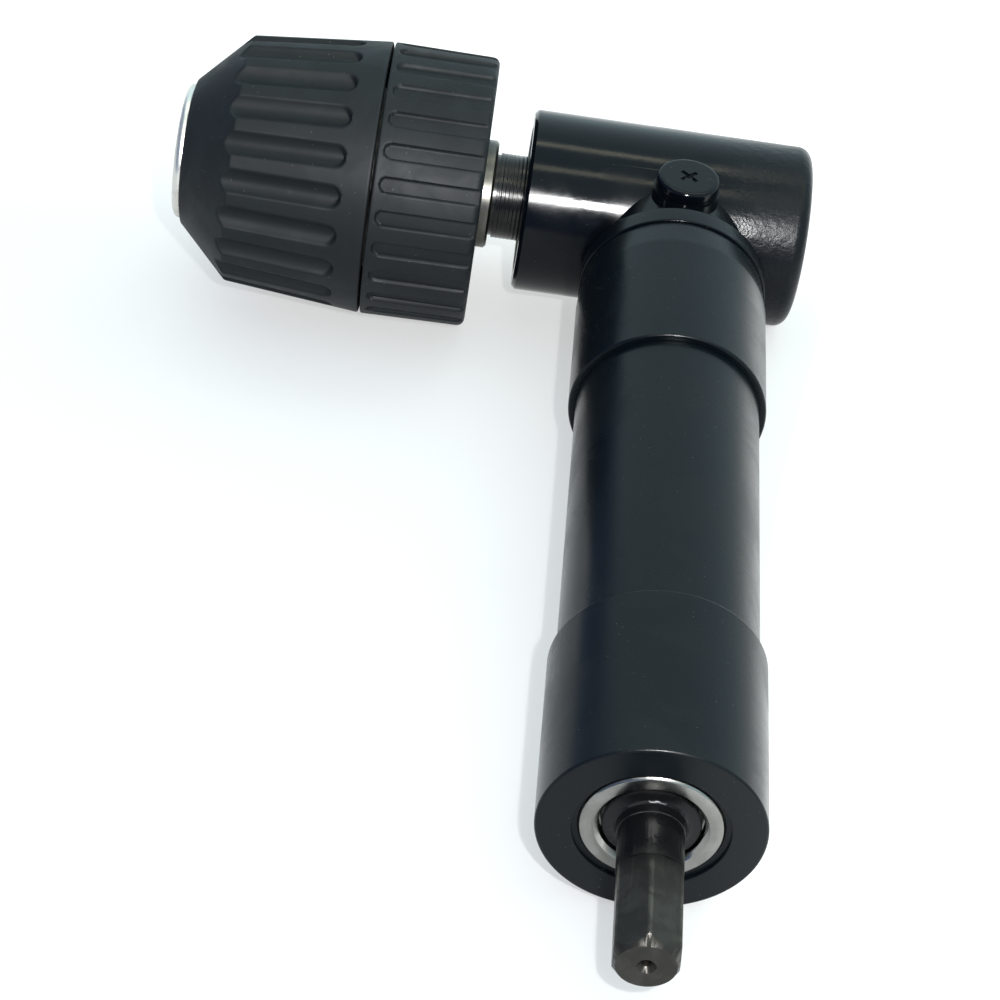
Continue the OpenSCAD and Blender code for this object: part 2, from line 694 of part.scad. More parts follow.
module pinion_pin() color(bright) along_handle(pinion_pin_y) rotate([0, 0, half_tooth]) rotate([0, 90, 0]) {
    cylinder(d = pin_d, h = gear_hub_d - edge_bevel, center = true);
}
module gear_pin() color(bright) along_output(gear_pin_place) rotate([90, 0, 0]) {
    cylinder(d = pin_d, h = gear_hub_d - edge_bevel, center = true);
}

// Output spindle: rear journal, gear seat, bearing journal, ring-turned neck and thread for the chuck
screw_tip = tool_bore_floor - chuck_screw_len;
groove_pitch = chuck_gap / ring_groove_count;
module output_spindle() color(phosphate) along_output() difference() {
    turned([
        [0, -spindle_bush_start - spindle_bush_len + side_gap],
        [gear_bore_d / 2, -spindle_bush_start - spindle_bush_len + side_gap],
        [gear_bore_d / 2, spindle_brg_start],
        [journal_r - press_gap, spindle_brg_start],
        [journal_r - press_gap, spindle_brg_end],
        [collar_neck_d / 2, spindle_brg_end],
        for (i = [0:ring_groove_count - 1]) each [
            [collar_neck_d / 2, head_front + i * groove_pitch],
            [collar_neck_d / 2 - ring_groove, head_front + (i + 0.5) * groove_pitch]
        ],
        [collar_neck_d / 2, hub_face],
        [spindle_thread_d / 2, hub_face],
        [spindle_thread_d / 2, hub_face + spindle_thread_len - edge_bevel],
        [spindle_thread_d / 2 - edge_bevel, hub_face + spindle_thread_len],
        [0, hub_face + spindle_thread_len]
    ]);
    bore(chuck_screw_d / 2 + press_gap, hub_face + screw_tip - side_gap,
        hub_face + spindle_thread_len + overrun);
    translate([0, 0, gear_pin_place]) rotate([90, 0, 0]) {
        cylinder(d = pin_d + 2 * press_gap, h = 2 * gear_bore_d, center = true);
    }
}

// The jaws' own axes run back and out from the middle of each closed jaw's tip
module on_jaw_axis(i) rotate([0, 0, 120 * i]) translate([jaw_tip_r, 0, jaw_tip]) {
    rotate([0, 180 - jaw_angle, 0]) children();
}

seat_end = rear_sleeve_start + rear_sleeve_floor + seat_extra;
flange_start = seat_end + (flange_d - seat_d) / 2 * tan(30);
waist_end = nut_end + side_gap;
nose_step = chuck_len - nose_ring_len;
nose_ring_inner_r = nose_ring_d / 2 - nose_ring_wall;
module chuck_body() color(bright) along_output(hub_face) difference() {
    turned([
        [0, 0],
        [hub_d / 2 - edge_bevel, 0],
        [hub_d / 2, edge_bevel],
        [hub_d / 2, rear_sleeve_start],
        [seat_d / 2, rear_sleeve_start],
        [seat_d / 2, seat_end],
        [flange_d / 2, flange_start],
        [flange_d / 2, flange_face],
        [waist_d / 2, flange_face],
        [waist_d / 2, waist_end],
        [nose_d / 2, waist_end],
        [nose_d / 2, nose_step],
        [nose_ring_inner_r, nose_step],
        [nose_ring_inner_r, chuck_len],
        [0, chuck_len]
    ]);
    bore(spindle_thread_d / 2 + press_gap, -overrun, thread_floor);
    bore(chuck_screw_d / 2 + running_gap, 0, tool_bore_floor + overrun);
    bore(tool_bore_d / 2, tool_bore_floor, chuck_len + overrun);
    bore(tool_bore_d / 2 + tool_relief, tool_bore_floor, chuck_len - tool_land_len);
    for (i = [0:2]) on_jaw_axis(i) translate([0, 0, -jaw_d]) {
        cylinder(d = jaw_d + 2 * running_gap, h = chuck_len + jaw_d);
    }
}

screw_recess_share = 0.46;
module chuck_screw() color(phosphate) along_output(hub_face) difference() {
    union() {
        bore(chuck_screw_head_d / 2, tool_bore_floor, tool_bore_floor + chuck_screw_head_h);
        bore(chuck_screw_d / 2, screw_tip, tool_bore_floor + edge_bevel);
    }
    translate([0, 0, tool_bore_floor + chuck_screw_head_h / 2]) {
        cylinder(d = chuck_screw_head_d * screw_recess_share, h = chuck_screw_head_h, $fn = 6);
    }
}

module nose_ring() color(bright) along_output(hub_face) turned([
    [nose_ring_inner_r + press_gap, nose_step],
    [nose_ring_d / 2, nose_step],
    [nose_ring_d / 2, chuck_len - nose_ring_len / 2],
    [nose_ring_d / 2 - nose_ring_len / 2, chuck_len],
    [nose_ring_inner_r + press_gap, chuck_len]
]);

// The wedge keeps the three closed jaws clear of each other, and its flat is the gripping face
module jaw(i) color(phosphate) along_output(hub_face) rotate([0, 0, 120 * i]) {
    translate([jaw_open_r - jaw_closed_r, 0, -jaw_travel * cos(jaw_angle)]) difference() {
        intersection() {
            on_jaw_axis(0) translate([0, 0, -jaw_d]) cylinder(d = jaw_d, h = jaw_len + jaw_d);
            translate([0, 0, jaw_tip - jaw_len]) linear_extrude(height = jaw_len) polygon([
                [jaw_closed_r, -(jaw_closed_r - side_gap) * tan(60)],
                [jaw_closed_r + jaw_d * cos(60), -(jaw_closed_r - side_gap) * tan(60) - jaw_d * sin(60)],
                [jaw_len, -jaw_d],
                [jaw_len, jaw_d],
                [jaw_closed_r + jaw_d * cos(60), (jaw_closed_r - side_gap) * tan(60) + jaw_d * sin(60)],
                [jaw_closed_r, (jaw_closed_r - side_gap) * tan(60)]
            ]);
        }
        for (k = [1:jaw_tooth_count]) translate([0, 0, jaw_tip - k * jaw_pitch]) {
            ring(jaw_len, jaw_edge_r(jaw_tip - k * jaw_pitch) - jaw_tooth_depth, 0, jaw_pitch / 2);
        }
    }
}
module jaw_1() jaw(0);
module jaw_2() jaw(1);
module jaw_3() jaw(2);

module split_nut() color(phosphate) along_output(hub_face) difference() {
    turned([
        [jaw_edge_r(nut_start) + side_gap, nut_start],
        [nut_r, nut_start],
        [nut_r, nut_end],
        [jaw_edge_r(nut_end) + side_gap, nut_end]
    ]);
    translate([-nut_slit / 2, -chuck_d / 2, nut_start - overrun]) {
        cube([nut_slit, chuck_d, nut_len + 2 * overrun]);
    }
}

cup_lip_start = nut_end + press_gap;
cup_lip_end = cup_lip_start + cup_lip;
module nut_cup() color(bright) along_output(hub_face) turned([
    [nut_r + press_gap, flange_face + side_gap],
    [cup_r, flange_face + side_gap],
    [cup_r, cup_lip_end],
    [nose_d / 2 + side_gap, cup_lip_end],
    [nose_d / 2 + side_gap, cup_lip_start],
    [nut_r + press_gap, cup_lip_start]
]);

nut_ball_place = flange_face + press_gap + nut_ball_d / 2;
module around_nut_balls() along_output(hub_face + nut_ball_place) for (i = [0:nut_ball_count - 1]) {
    rotate([0, 0, 360 * i / nut_ball_count]) translate([nut_ball_circle / 2, 0, 0]) children();
}
module nut_balls() color(bright) around_nut_balls() sphere(d = nut_ball_d);
module nut_ball_cage() color(bronze) difference() {
    along_output(hub_face + nut_ball_place) ring(nut_ball_circle / 2 + nut_cage_wall,
        nut_ball_circle / 2 - nut_cage_wall, -nut_cage_t / 2, nut_cage_t / 2);
    around_nut_balls() cylinder(r = nut_ball_d / 2 + running_gap, h = nut_ball_d, center = true);
}

// Front sleeve: a tapered grip with flutes and a 45 degree nose, pressed on the nut's cup
pocket_wall_share = 0.25;
sleeve_pocket_floor = cup_lip_end + cup_wall;
rib_count = 6;
module front_sleeve() color(plastic) along_output(hub_face) difference() {
    turned([
        [skirt_r, front_sleeve_start],
        [chuck_d / 2, front_sleeve_start],
        [knee_d / 2, knee],
        [knee_d / 2 - nose_cone_len, front_sleeve_end],
        [nose_d / 2 + nose_clearance, front_sleeve_end],
        [nose_d / 2 + nose_clearance, front_sleeve_end - nose_cone_len],
        [cup_r + press_gap, cup_lip_end],
        [cup_r + press_gap, flange_face + 2 * side_gap],
        [skirt_r, flange_face + 2 * side_gap]
    ]);
    sleeve_pocket();
    for (i = [0:flute_count - 1]) rotate([0, 0, 360 * i / flute_count - flute_phase]) flute();
}
skirt_r = chuck_d / 2 - rear_sleeve_wall - running_gap;
pocket_inner_r = cup_r + press_gap + (skirt_r - cup_r - press_gap) * pocket_wall_share;
module sleeve_pocket() difference() {
    turned([
        [pocket_inner_r, front_sleeve_start],
        [skirt_r, front_sleeve_start],
        [skirt_r - tan(flute_slope) * (sleeve_pocket_floor - front_sleeve_start), sleeve_pocket_floor],
        [pocket_inner_r, sleeve_pocket_floor]
    ]);
    for (i = [0:rib_count - 1]) rotate([0, 0, 360 * i / rib_count]) {
        translate([0, -cup_wall, flange_face + 2 * side_gap]) cube([chuck_d, 2 * cup_wall, chuck_len]);
    }
}

// A flute is a round trough that follows the taper; a slot with a round end shapes its rear end
flute_r = (pow(flute_width / 2, 2) + pow(flute_depth, 2)) / 2 / flute_depth;
module flute() intersection() {
    translate([chuck_d / 2, 0, front_sleeve_start]) rotate([0, -flute_slope, 0]) {
        translate([flute_r - flute_depth, 0, 0]) cylinder(r = flute_r, h = chuck_len);
    }
    translate([0, 0, front_sleeve_start + flute_start + flute_width / 2]) rotate([0, 90, 0]) {
        linear_extrude(height = chuck_d) union() {
            circle(d = flute_width + running_gap);
            translate([-chuck_len, -flute_width / 2 - running_gap / 2]) {
                square([chuck_len, flute_width + running_gap]);
            }
        }
    }
}

// Rear sleeve: a cup pressed on the body's seat, with panels that open at its rear edge
module rear_sleeve() color(plastic) along_output(hub_face) difference() {
    turned([
        [seat_d / 2 + press_gap, rear_sleeve_start],
        [chuck_rear_d / 2 - rear_sleeve_round, rear_sleeve_start],
        for (a = [0:30:90]) [chuck_rear_d / 2 - rear_sleeve_round * (1 - sin(a)),
            rear_sleeve_start + rear_sleeve_round * (1 - cos(a))],
        [chuck_d / 2, rear_sleeve_end],
        [chuck_rear_d / 2 - rear_sleeve_wall, rear_sleeve_end],
        [chuck_rear_d / 2 - rear_sleeve_wall, rear_sleeve_start + rear_sleeve_floor],
        [seat_d / 2 + press_gap, rear_sleeve_start + rear_sleeve_floor]
    ]);
    for (i = [0:panel_count - 1]) rotate([0, 0, 360 * i / panel_count - panel_phase]) panel();
}
panel_floor_r = chuck_rear_d / 2 - panel_depth;
module panel() translate([panel_floor_r, 0, rear_sleeve_end - panel_start - panel_width / 2]) {
    rotate([0, 90, 0]) linear_extrude(height = chuck_d / 2) union() {
        circle(d = panel_width);
        translate([0, -panel_width / 2]) square([rear_sleeve_len, panel_width]);
    }
}

gear_head();
grease_plug();
plug_washer();
neck_sleeve();
handle_tube();
end_collar();
shaft_bush();
shaft_bearing_outer_ring();
shaft_circlip();
spindle_bearing_outer_ring();
spindle_circlip();
dust_seal();
spindle_bush();
input_shaft();
shaft_bearing_inner_ring();
pinion_spacer();
bevel_pinion();
pinion_pin();
shaft_bearing_balls();
shaft_bearing_cage();
spindle_bearing_balls();
spindle_bearing_cage();
output_spindle();
spindle_bearing_inner_ring();
bevel_gear();
gear_pin();
chuck_body();
rear_sleeve();
nose_ring();
chuck_screw();
front_sleeve();
nut_cup();
split_nut();
nut_balls();
nut_ball_cage();
jaw_1();
jaw_2();
jaw_3();
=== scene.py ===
import json
import math

import bpy
from mathutils import Matrix, Vector


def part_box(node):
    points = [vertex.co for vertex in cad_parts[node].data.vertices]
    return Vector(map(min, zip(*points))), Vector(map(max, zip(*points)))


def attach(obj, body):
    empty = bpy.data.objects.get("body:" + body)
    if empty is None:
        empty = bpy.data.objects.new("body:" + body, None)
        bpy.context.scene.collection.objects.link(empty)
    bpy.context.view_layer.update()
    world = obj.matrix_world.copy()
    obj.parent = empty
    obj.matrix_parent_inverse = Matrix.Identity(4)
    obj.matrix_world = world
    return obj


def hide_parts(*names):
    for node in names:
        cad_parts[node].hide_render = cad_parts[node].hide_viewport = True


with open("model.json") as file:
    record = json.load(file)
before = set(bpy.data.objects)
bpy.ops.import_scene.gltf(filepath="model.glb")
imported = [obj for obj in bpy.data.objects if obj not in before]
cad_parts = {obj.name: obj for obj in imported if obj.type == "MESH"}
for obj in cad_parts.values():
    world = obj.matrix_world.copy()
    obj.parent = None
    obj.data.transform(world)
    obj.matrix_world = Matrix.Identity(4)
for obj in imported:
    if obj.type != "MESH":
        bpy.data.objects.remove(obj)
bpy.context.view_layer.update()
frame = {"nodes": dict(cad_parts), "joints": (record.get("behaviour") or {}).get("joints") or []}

# Studio: the camera stands where the photograph was taken from, and the tool lies on a pale floor
# that touches the chuck, the closed end of the head and the end collar. A small lamp beside the
# camera gives the hard highlights and soft ones overhead the rest, and the floor glows a little.
MM = 0.001
axis_y = frame["joints"][0]["pos_m"][1]
camera_place = (-34.66 * MM, -202.44 * MM, 252.01 * MM)
camera_turn = (math.radians(48.07), math.radians(-7.027), math.radians(4.128))
camera_lens = 93.73

bpy.ops.object.select_all(action="DESELECT")
bpy.ops.object.camera_add(location=camera_place, rotation=camera_turn)
camera = bpy.context.object
camera.data.lens = camera_lens
camera.data.sensor_width = 36
camera.data.clip_start = 0.01
bpy.context.scene.camera = camera
bpy.context.scene.view_settings.view_transform = "Standard"

chuck_low, chuck_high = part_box("rear_sleeve")
head_low, head_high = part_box("gear_head")
collar_low, collar_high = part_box("end_collar")
head_r = head_high.y - axis_y
floor_up = Vector((0, 0, 1))
# The lowest points depend on the floor's tilt and it depends on them, so a few steps find both
floor_steps = 6
for _ in range(floor_steps):
    down_output = Vector((0, -floor_up.y, -floor_up.z)).normalized()
    down_handle = Vector((-floor_up.x, 0, -floor_up.z)).normalized()
    under_chuck = Vector((chuck_low.x, axis_y, 0)) + down_output * chuck_high.z
    under_head = Vector((head_high.x, axis_y, 0)) + down_output * head_r
    under_collar = Vector((0, collar_low.y, 0)) + down_handle * collar_high.z
    floor_up = (under_head - under_chuck).cross(under_collar - under_chuck).normalized()
    if floor_up.z < 0:
        floor_up.negate()


def feed(tree, socket, value):
    """Sets a socket to a value, or links another socket to it."""
    if isinstance(value, bpy.types.NodeSocket):
        tree.links.new(value, socket)
    else:
        socket.default_value = value


def node(tree, kind, inputs, **settings):
    """A shader node with values or sockets fed to its inputs."""
    made = tree.nodes.new("ShaderNode" + kind)
    for key, value in settings.items():
        setattr(made, key, value)
    for key, value in inputs.items():
        feed(tree, made.inputs[key], value)
    return made


def math_node(tree, operation, a, b=0.0, clamp=False):
    """A Math node of two values or sockets; gives its output."""
    made = node(tree, "Math", {0: a, 1: b}, operation=operation)
    made.use_clamp = clamp
    return made.outputs[0]


def times(tree, a, b, clamp=False):
    """Two values or sockets multiplied."""
    return math_node(tree, "MULTIPLY", a, b, clamp)


def plus(tree, a, b, clamp=False):
    """Two values or sockets added."""
    return math_node(tree, "ADD", a, b, clamp)


def ramp(tree, value, low, high):
    """0 below low, 1 above high and smooth between them."""
    made = node(tree, "MapRange", {"Value": value, "From Min": low, "From Max": high},
        interpolation_type="SMOOTHSTEP")
    return made.outputs["Result"]


def new_material(name):
    """A material, its node tree, its Principled shader and the Object coordinates."""
    made = bpy.data.materials.new(name)
    made.use_nodes = True
    tree = made.node_tree
    place = tree.nodes.new("ShaderNodeTexCoord").outputs["Object"]
    return made, tree, tree.nodes["Principled BSDF"], place


floor_size = 3
bpy.ops.mesh.primitive_plane_add(size=floor_size, location=under_chuck,
    rotation=floor_up.to_track_quat("Z", "Y").to_euler())
floor = bpy.context.object
floor.name = "floor"
paper, tree, shader, place = new_material("pale floor")
mottle = node(tree, "TexNoise", {"Vector": place, "Scale": 40, "Detail": 4})
tone = node(tree, "ValToRGB", {"Fac": mottle.outputs["Fac"]})
tone.color_ramp.elements[0].color = (0.36, 0.36, 0.355, 1)
tone.color_ramp.elements[1].color = (0.39, 0.39, 0.385, 1)
tree.links.new(tone.outputs["Color"], shader.inputs["Base Color"])
shader.inputs["Emission Color"].default_value = (1.0, 1.0, 0.975, 1)
# Painted light: besides its even glow, the floor glows brighter in a strip to the right of the handle and
# towards the back, beyond the head.
floor_glow, strip_glow, behind_glow = 0.52, 0.8, 0.25
strip_start, strip_end, behind_start = (0.076, 0.096), (0.17, 0.115), (0.0, -0.06)
beside = node(tree, "SeparateXYZ", {"Vector": place})
strip = times(tree, ramp(tree, beside.outputs["Y"], *strip_start),
    ramp(tree, beside.outputs["Y"], *strip_end))
behind = ramp(tree, beside.outputs["X"], *behind_start)
glow = plus(tree, times(tree, strip, strip_glow), times(tree, behind, behind_glow))
tree.links.new(plus(tree, glow, floor_glow), shader.inputs["Emission Strength"])
shader.inputs["Roughness"].default_value = 0.7
floor.data.materials.append(paper)


def lamp(name, place, aim, size, watts, colour=(1, 1, 1), width=None):
    """An area light at a place, turned to an aim: square, or a strip of another width."""
    bpy.ops.object.light_add(type="AREA", location=place)
    made = bpy.context.object
    made.name = name
    made.rotation_euler = (Vector(aim) - Vector(place)).to_track_quat("-Z", "Y").to_euler()
    made.data.shape = "RECTANGLE"
    made.data.size = size
    made.data.size_y = width or size
    made.data.energy = watts
    made.data.color = colour
    return made


middle = (-0.02, 0.10, 0)
beside_camera = (camera_place[0] + 0.035, camera_place[1] + 0.005, camera_place[2] + 0.03)
lamp("flash", beside_camera, middle, size=0.008, watts=1.0).visible_glossy = False
lamp("glint", beside_camera, middle, size=0.045, watts=4.5).visible_diffuse = False
for place in ((0.04, 0.49, 0.84), (0.04, -0.03, 0.88)):
    lamp("tube_light", place, (0, axis_y, 0), size=1.4, watts=2.4, colour=(1.0, 0.95, 0.72),
        width=0.09).visible_diffuse = False
lamp("ceiling", (0.1, 0.3, 1.3), middle, size=3, watts=4).visible_glossy = False
lamp("overhead", (0.30, 0.50, 0.75), middle, size=0.5, watts=1.2).visible_glossy = False
room = bpy.data.worlds.new("room")
bpy.context.scene.world = room
room.use_nodes = True
tree = room.node_tree
towards = tree.nodes.new("ShaderNodeTexCoord").outputs["Generated"]
bright_side = (0.72, 0.49, 0.49)
facing = node(tree, "VectorMath", {0: towards, 1: bright_side}, operation="DOT_PRODUCT")
shade = node(tree, "ValToRGB", {"Fac": facing.outputs["Value"]})
shade.color_ramp.elements[0].color = (0.14, 0.20, 0.34, 1)
shade.color_ramp.elements[1].color = (0.67, 0.86, 0.92, 1)
shade.color_ramp.elements[1].position = 0.12
room_light = tree.nodes["Background"]
tree.links.new(shade.outputs["Color"], room_light.inputs["Color"])
room_light.inputs["Strength"].default_value = 1.5

# Gear head: one iron casting, painted black. A cylinder closed at one end holds the gears, and a
# neck with a raised band grows out of its side with a small cast fillet. Bores for the bearings
# are machined from its open end and through the neck, and a boss carries the grease plug.
ALONG_HANDLE = Matrix(((1, 0, 0, 0), (0, 0, 1, 0), (0, -1, 0, 0), (0, 0, 0, 1)))
ALONG_OUTPUT = Matrix(((0, 0, -1, 0), (0, 1, 0, axis_y), (1, 0, 0, 0), (0, 0, 0, 1)))
weld = 0.002 * MM


def modify(piece, kind, **settings):
    """Adds a modifier and applies it."""
    bpy.ops.object.select_all(action="DESELECT")
    piece.select_set(True)
    bpy.context.view_layer.objects.active = piece
    made = piece.modifiers.new(kind.lower(), kind)
    for key, value in settings.items():
        setattr(made, key, value)
    bpy.ops.object.modifier_apply(modifier=made.name)


def lathe(name, outline, sides, closed=False):
    """Turns an outline of (place, radius) points round local Z, in metres. A closed outline makes a
    ring, and an open one is capped at both ends."""
    bpy.ops.object.select_all(action="DESELECT")
    start, radius = outline[0]
    bpy.ops.mesh.primitive_circle_add(vertices=sides, radius=radius)
    piece = bpy.context.object
    piece.name = name
    bpy.ops.object.mode_set(mode="EDIT")
    bpy.ops.transform.translate(value=(0, 0, start))
    if not closed:
        bpy.ops.mesh.edge_face_add()
        bpy.ops.mesh.select_mode(type="EDGE")
    for place, wider in outline[1:] + (outline[:1] if closed else []):
        bpy.ops.mesh.extrude_edges_move(TRANSFORM_OT_translate={"value": (0, 0, place - start)})
        bpy.ops.transform.resize(value=(wider / radius, wider / radius, 1))
        start, radius = place, wider
    if not closed:
        bpy.ops.mesh.edge_face_add()
    bpy.ops.mesh.select_all(action="SELECT")
    bpy.ops.mesh.remove_doubles(threshold=weld)
    bpy.ops.mesh.normals_make_consistent(inside=False)
    bpy.ops.object.mode_set(mode="OBJECT")
    return piece


def lay(piece, direction):
    """Lays a piece made round local Z along the handle or the output axis."""
    bpy.ops.object.select_all(action="DESELECT")
    piece.select_set(True)
    bpy.context.view_layer.objects.active = piece
    piece.matrix_world = direction
    bpy.ops.object.transform_apply(location=True, rotation=True, scale=True)


def join_solids(piece, other, operation):
    """Adds another solid to a piece or cuts it away, and removes the other one."""
    modify(piece, "BOOLEAN", object=other, operation=operation, solver="EXACT")
    bpy.data.objects.remove(other)


def smooth(piece, angle):
    """Shades a piece smooth between its sharp edges."""
    bpy.ops.object.select_all(action="DESELECT")
    piece.select_set(True)
    bpy.context.view_layer.objects.active = piece
    bpy.ops.object.shade_smooth_by_angle(angle=math.radians(angle))


def round_edges(piece, width, angle):
    """Rounds every edge sharper than an angle and shades the piece smooth."""
    modify(piece, "BEVEL", width=width, segments=2, limit_method="ANGLE",
        angle_limit=math.radians(angle), harden_normals=False)
    smooth(piece, angle=60)
    modify(piece, "WEIGHTED_NORMAL", keep_sharp=True, weight=90)


def finish_piece(piece, body, slot, material, *nodes):
    """Gives a piece its material and its body, and hides the nodes that it replaces; its slot is not used.
    """
    piece.data.materials.clear()
    piece.data.materials.append(material)
    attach(piece, body)
    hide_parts(*nodes)


def repaint(material, *names):
    """Gives solids that keep their own shape a material."""
    for name in names:
        solid = frame["nodes"][name]
        solid.data.materials.clear()
        solid.data.materials.append(material)


def node_group(name, inputs, outputs):
    """A shader node group, the sockets it is given and those it gives; all but Vector are numbers."""
    tree = bpy.data.node_groups.new(name, "ShaderNodeTree")
    for label in inputs:
        kind = "NodeSocketVector" if label == "Vector" else "NodeSocketFloat"
        tree.interface.new_socket(label, in_out="INPUT", socket_type=kind)
    for label in outputs:
        tree.interface.new_socket(label, in_out="OUTPUT", socket_type="NodeSocketFloat")
    return tree, tree.nodes.new("NodeGroupInput").outputs, tree.nodes.new("NodeGroupOutput").inputs


def use_group(tree, group, **inputs):
    """Places a node group in a material; underscores in its input names stand for blanks."""
    made = tree.nodes.new("ShaderNodeGroup")
    made.node_tree = group
    for key, value in inputs.items():
        feed(tree, made.inputs[key.replace("_", " ")], value)
    return made


def mix_colours(tree, share, low, high):
    """A colour between two, each of them a colour or a socket."""
    ends = [end if isinstance(end, bpy.types.NodeSocket) else (*end, 1) for end in (low, high)]
    mix = node(tree, "Mix", {"Factor": share, "A": ends[0], "B": ends[1]}, data_type="RGBA")
    return mix.outputs["Result"]


def surface(tree, shader, colour, rough, height, height_scale):
    """Gives a shader its colour, its roughness and its relief, whose scale is in metres."""
    tree.links.new(colour, shader.inputs["Base Color"])
    feed(tree, shader.inputs["Roughness"], rough)
    bump = node(tree, "Bump", {"Height": height, "Strength": 1.0, "Distance": height_scale})
    tree.links.new(bump.outputs["Normal"], shader.inputs["Normal"])


# Ripple is the skin of paint, plastic and castings: soft waves with finer ones on them.
ripple, given, out = node_group("ripple", ["Vector", "Scale", "Fine"], ["Height"])
wide = node(ripple, "TexNoise", {"Vector": given["Vector"], "Scale": given["Scale"], "Detail": 1})
fine_scale = times(ripple, given["Scale"], 3.7)
fine = node(ripple, "TexNoise", {"Vector": given["Vector"], "Scale": fine_scale, "Detail": 2})
mixed = node(ripple, "Mix", {"Factor": given["Fine"], "A": wide.outputs["Fac"], "B": fine.outputs["Fac"]},
    data_type="FLOAT")
ripple.links.new(mixed.outputs["Result"], out["Height"])

# Handling is what use leaves behind: greasy smudges, settled dust and fine scratches.
handling, given, out = node_group("handling", ["Vector", "Smudge Scale", "Dust Scale"],
    ["Smudge", "Dust", "Scratch"])
blots = node(handling, "TexNoise", {"Vector": given["Vector"], "Scale": given["Smudge Scale"],
    "Detail": 5, "Roughness": 0.62, "Distortion": 0.6})
handling.links.new(ramp(handling, blots.outputs["Fac"], low=0.42, high=0.66), out["Smudge"])
specks = node(handling, "TexVoronoi", {"Vector": given["Vector"], "Scale": given["Dust Scale"]})
near_speck = ramp(handling, specks.outputs["Distance"], low=0.22, high=0.10)
chosen = node(handling, "SeparateColor", {"Color": specks.outputs["Color"]})
rare = math_node(handling, "GREATER_THAN", chosen.outputs["Red"], 0.975)
handling.links.new(times(handling, near_speck, rare), out["Dust"])
stretched = node(handling, "Mapping", {"Vector": given["Vector"], "Rotation": (0.5, 0.3, 0.9),
    "Scale": (9000, 350, 9000)})
hairs = node(handling, "TexNoise", {"Vector": stretched.outputs["Vector"], "Scale": 1, "Detail": 1})
handling.links.new(ramp(handling, hairs.outputs["Fac"], low=0.70, high=0.78), out["Scratch"])
dust_grey = (0.32, 0.31, 0.29)


def enamel(name, colour, rough, peel, peel_height, coarse=0.0):
    """Black stoving enamel: orange peel with smudges and a little dust on it. The peel can be
    coarser and duller towards the closed end of the head."""
    made, tree, shader, place = new_material(name)
    skin = use_group(tree, ripple, Vector=place, Scale=peel, Fine=0.35)
    lumps = use_group(tree, ripple, Vector=place, Scale=peel * 1.1, Fine=0.3)
    along = node(tree, "SeparateXYZ", {"Vector": place})
    share = times(tree, ramp(tree, along.outputs["X"], low=0.0, high=12 * MM), coarse)
    height = plus(tree, skin.outputs["Height"], times(tree, lumps.outputs["Height"], share))
    use = use_group(tree, handling, Vector=place, Smudge_Scale=70.0, Dust_Scale=2400.0)
    dusty = times(tree, use.outputs["Dust"], 0.2)
    smeared = times(tree, use.outputs["Smudge"], 0.10)
    soiled = times(tree, dusty, 0.4)
    matte = plus(tree, plus(tree, smeared, rough), soiled, clamp=True)
    duller = times(tree, share, 0.024)
    surface(tree, shader, mix_colours(tree, dusty, colour, dust_grey), plus(tree, matte, duller), height,
        peel_height)
    shader.inputs["IOR"].default_value = 1.23
    return made


head_enamel = enamel("head enamel", colour=(0.0025, 0.0038, 0.0056), rough=0.11, peel=800,
    peel_height=0.016 * MM, coarse=6.5)
handle_enamel = enamel("handle enamel", colour=(0.0026, 0.0045, 0.0062), rough=0.24, peel=1400,
    peel_height=0.010 * MM)

sleeve_low, sleeve_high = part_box("neck_sleeve")
plug_low, plug_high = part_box("grease_plug")
band_start = sleeve_high.y
band_end = band_start + 3.6 * MM
band_r = head_high.z
neck_r = 12.8 * MM
neck_fillet = 0.5 * MM
head_tenon_r = 13.4 * MM
closed_end = -head_high.x
open_end = -head_low.x
end_round = 2.2 * MM
mouth_bevel = 0.6 * MM
head_arc = [math.radians(a) for a in range(0, 91, 10)]
closed_round = [(closed_end + end_round * (1 - math.cos(a)), head_r - end_round * (1 - math.sin(a)))
    for a in head_arc]
head = lathe("head_casting", closed_round + [(open_end - mouth_bevel, head_r),
    (open_end, head_r - mouth_bevel)], sides=256)
lay(head, ALONG_OUTPUT)
band_bevel = 0.15 * MM
band_edge = 0.4 * MM
band_soft = 0.12 * MM
fillet_mid = 0.3 * neck_fillet
neck = lathe("neck", [(head_low.y, head_tenon_r), (band_start, head_tenon_r),
    (band_start, band_r - band_bevel), (band_start + band_bevel, band_r), (band_end - band_edge, band_r),
    (band_end - band_soft, band_r - band_soft), (band_end, band_r - band_edge),
    (band_end, neck_r + neck_fillet), (band_end + fillet_mid, neck_r + fillet_mid),
    (band_end + neck_fillet, neck_r), (axis_y, neck_r)], sides=256)
lay(neck, ALONG_HANDLE)
plug_r = (plug_high.x - plug_low.x) / 2
boss_margin = 0.3 * MM
boss_rise = 1 * MM
boss_r = plug_r + boss_margin
plug_y = (plug_low.y + plug_high.y) / 2
boss_top = neck_r + boss_rise
bpy.ops.mesh.primitive_cylinder_add(vertices=96, radius=boss_r, depth=boss_top,
    location=(0, plug_y, boss_top / 2))
boss = bpy.context.object
join_solids(neck, boss, "UNION")
join_solids(head, neck, "UNION")


def cut_bores(piece, bores, direction):
    """Cuts bores of (radius, start, end) along an axis out of a piece."""
    for radius, start, end in bores:
        cutter = lathe("cutter", [(start, radius), (end, radius)], sides=128)
        lay(cutter, direction)
        join_solids(piece, cutter, "DIFFERENCE")


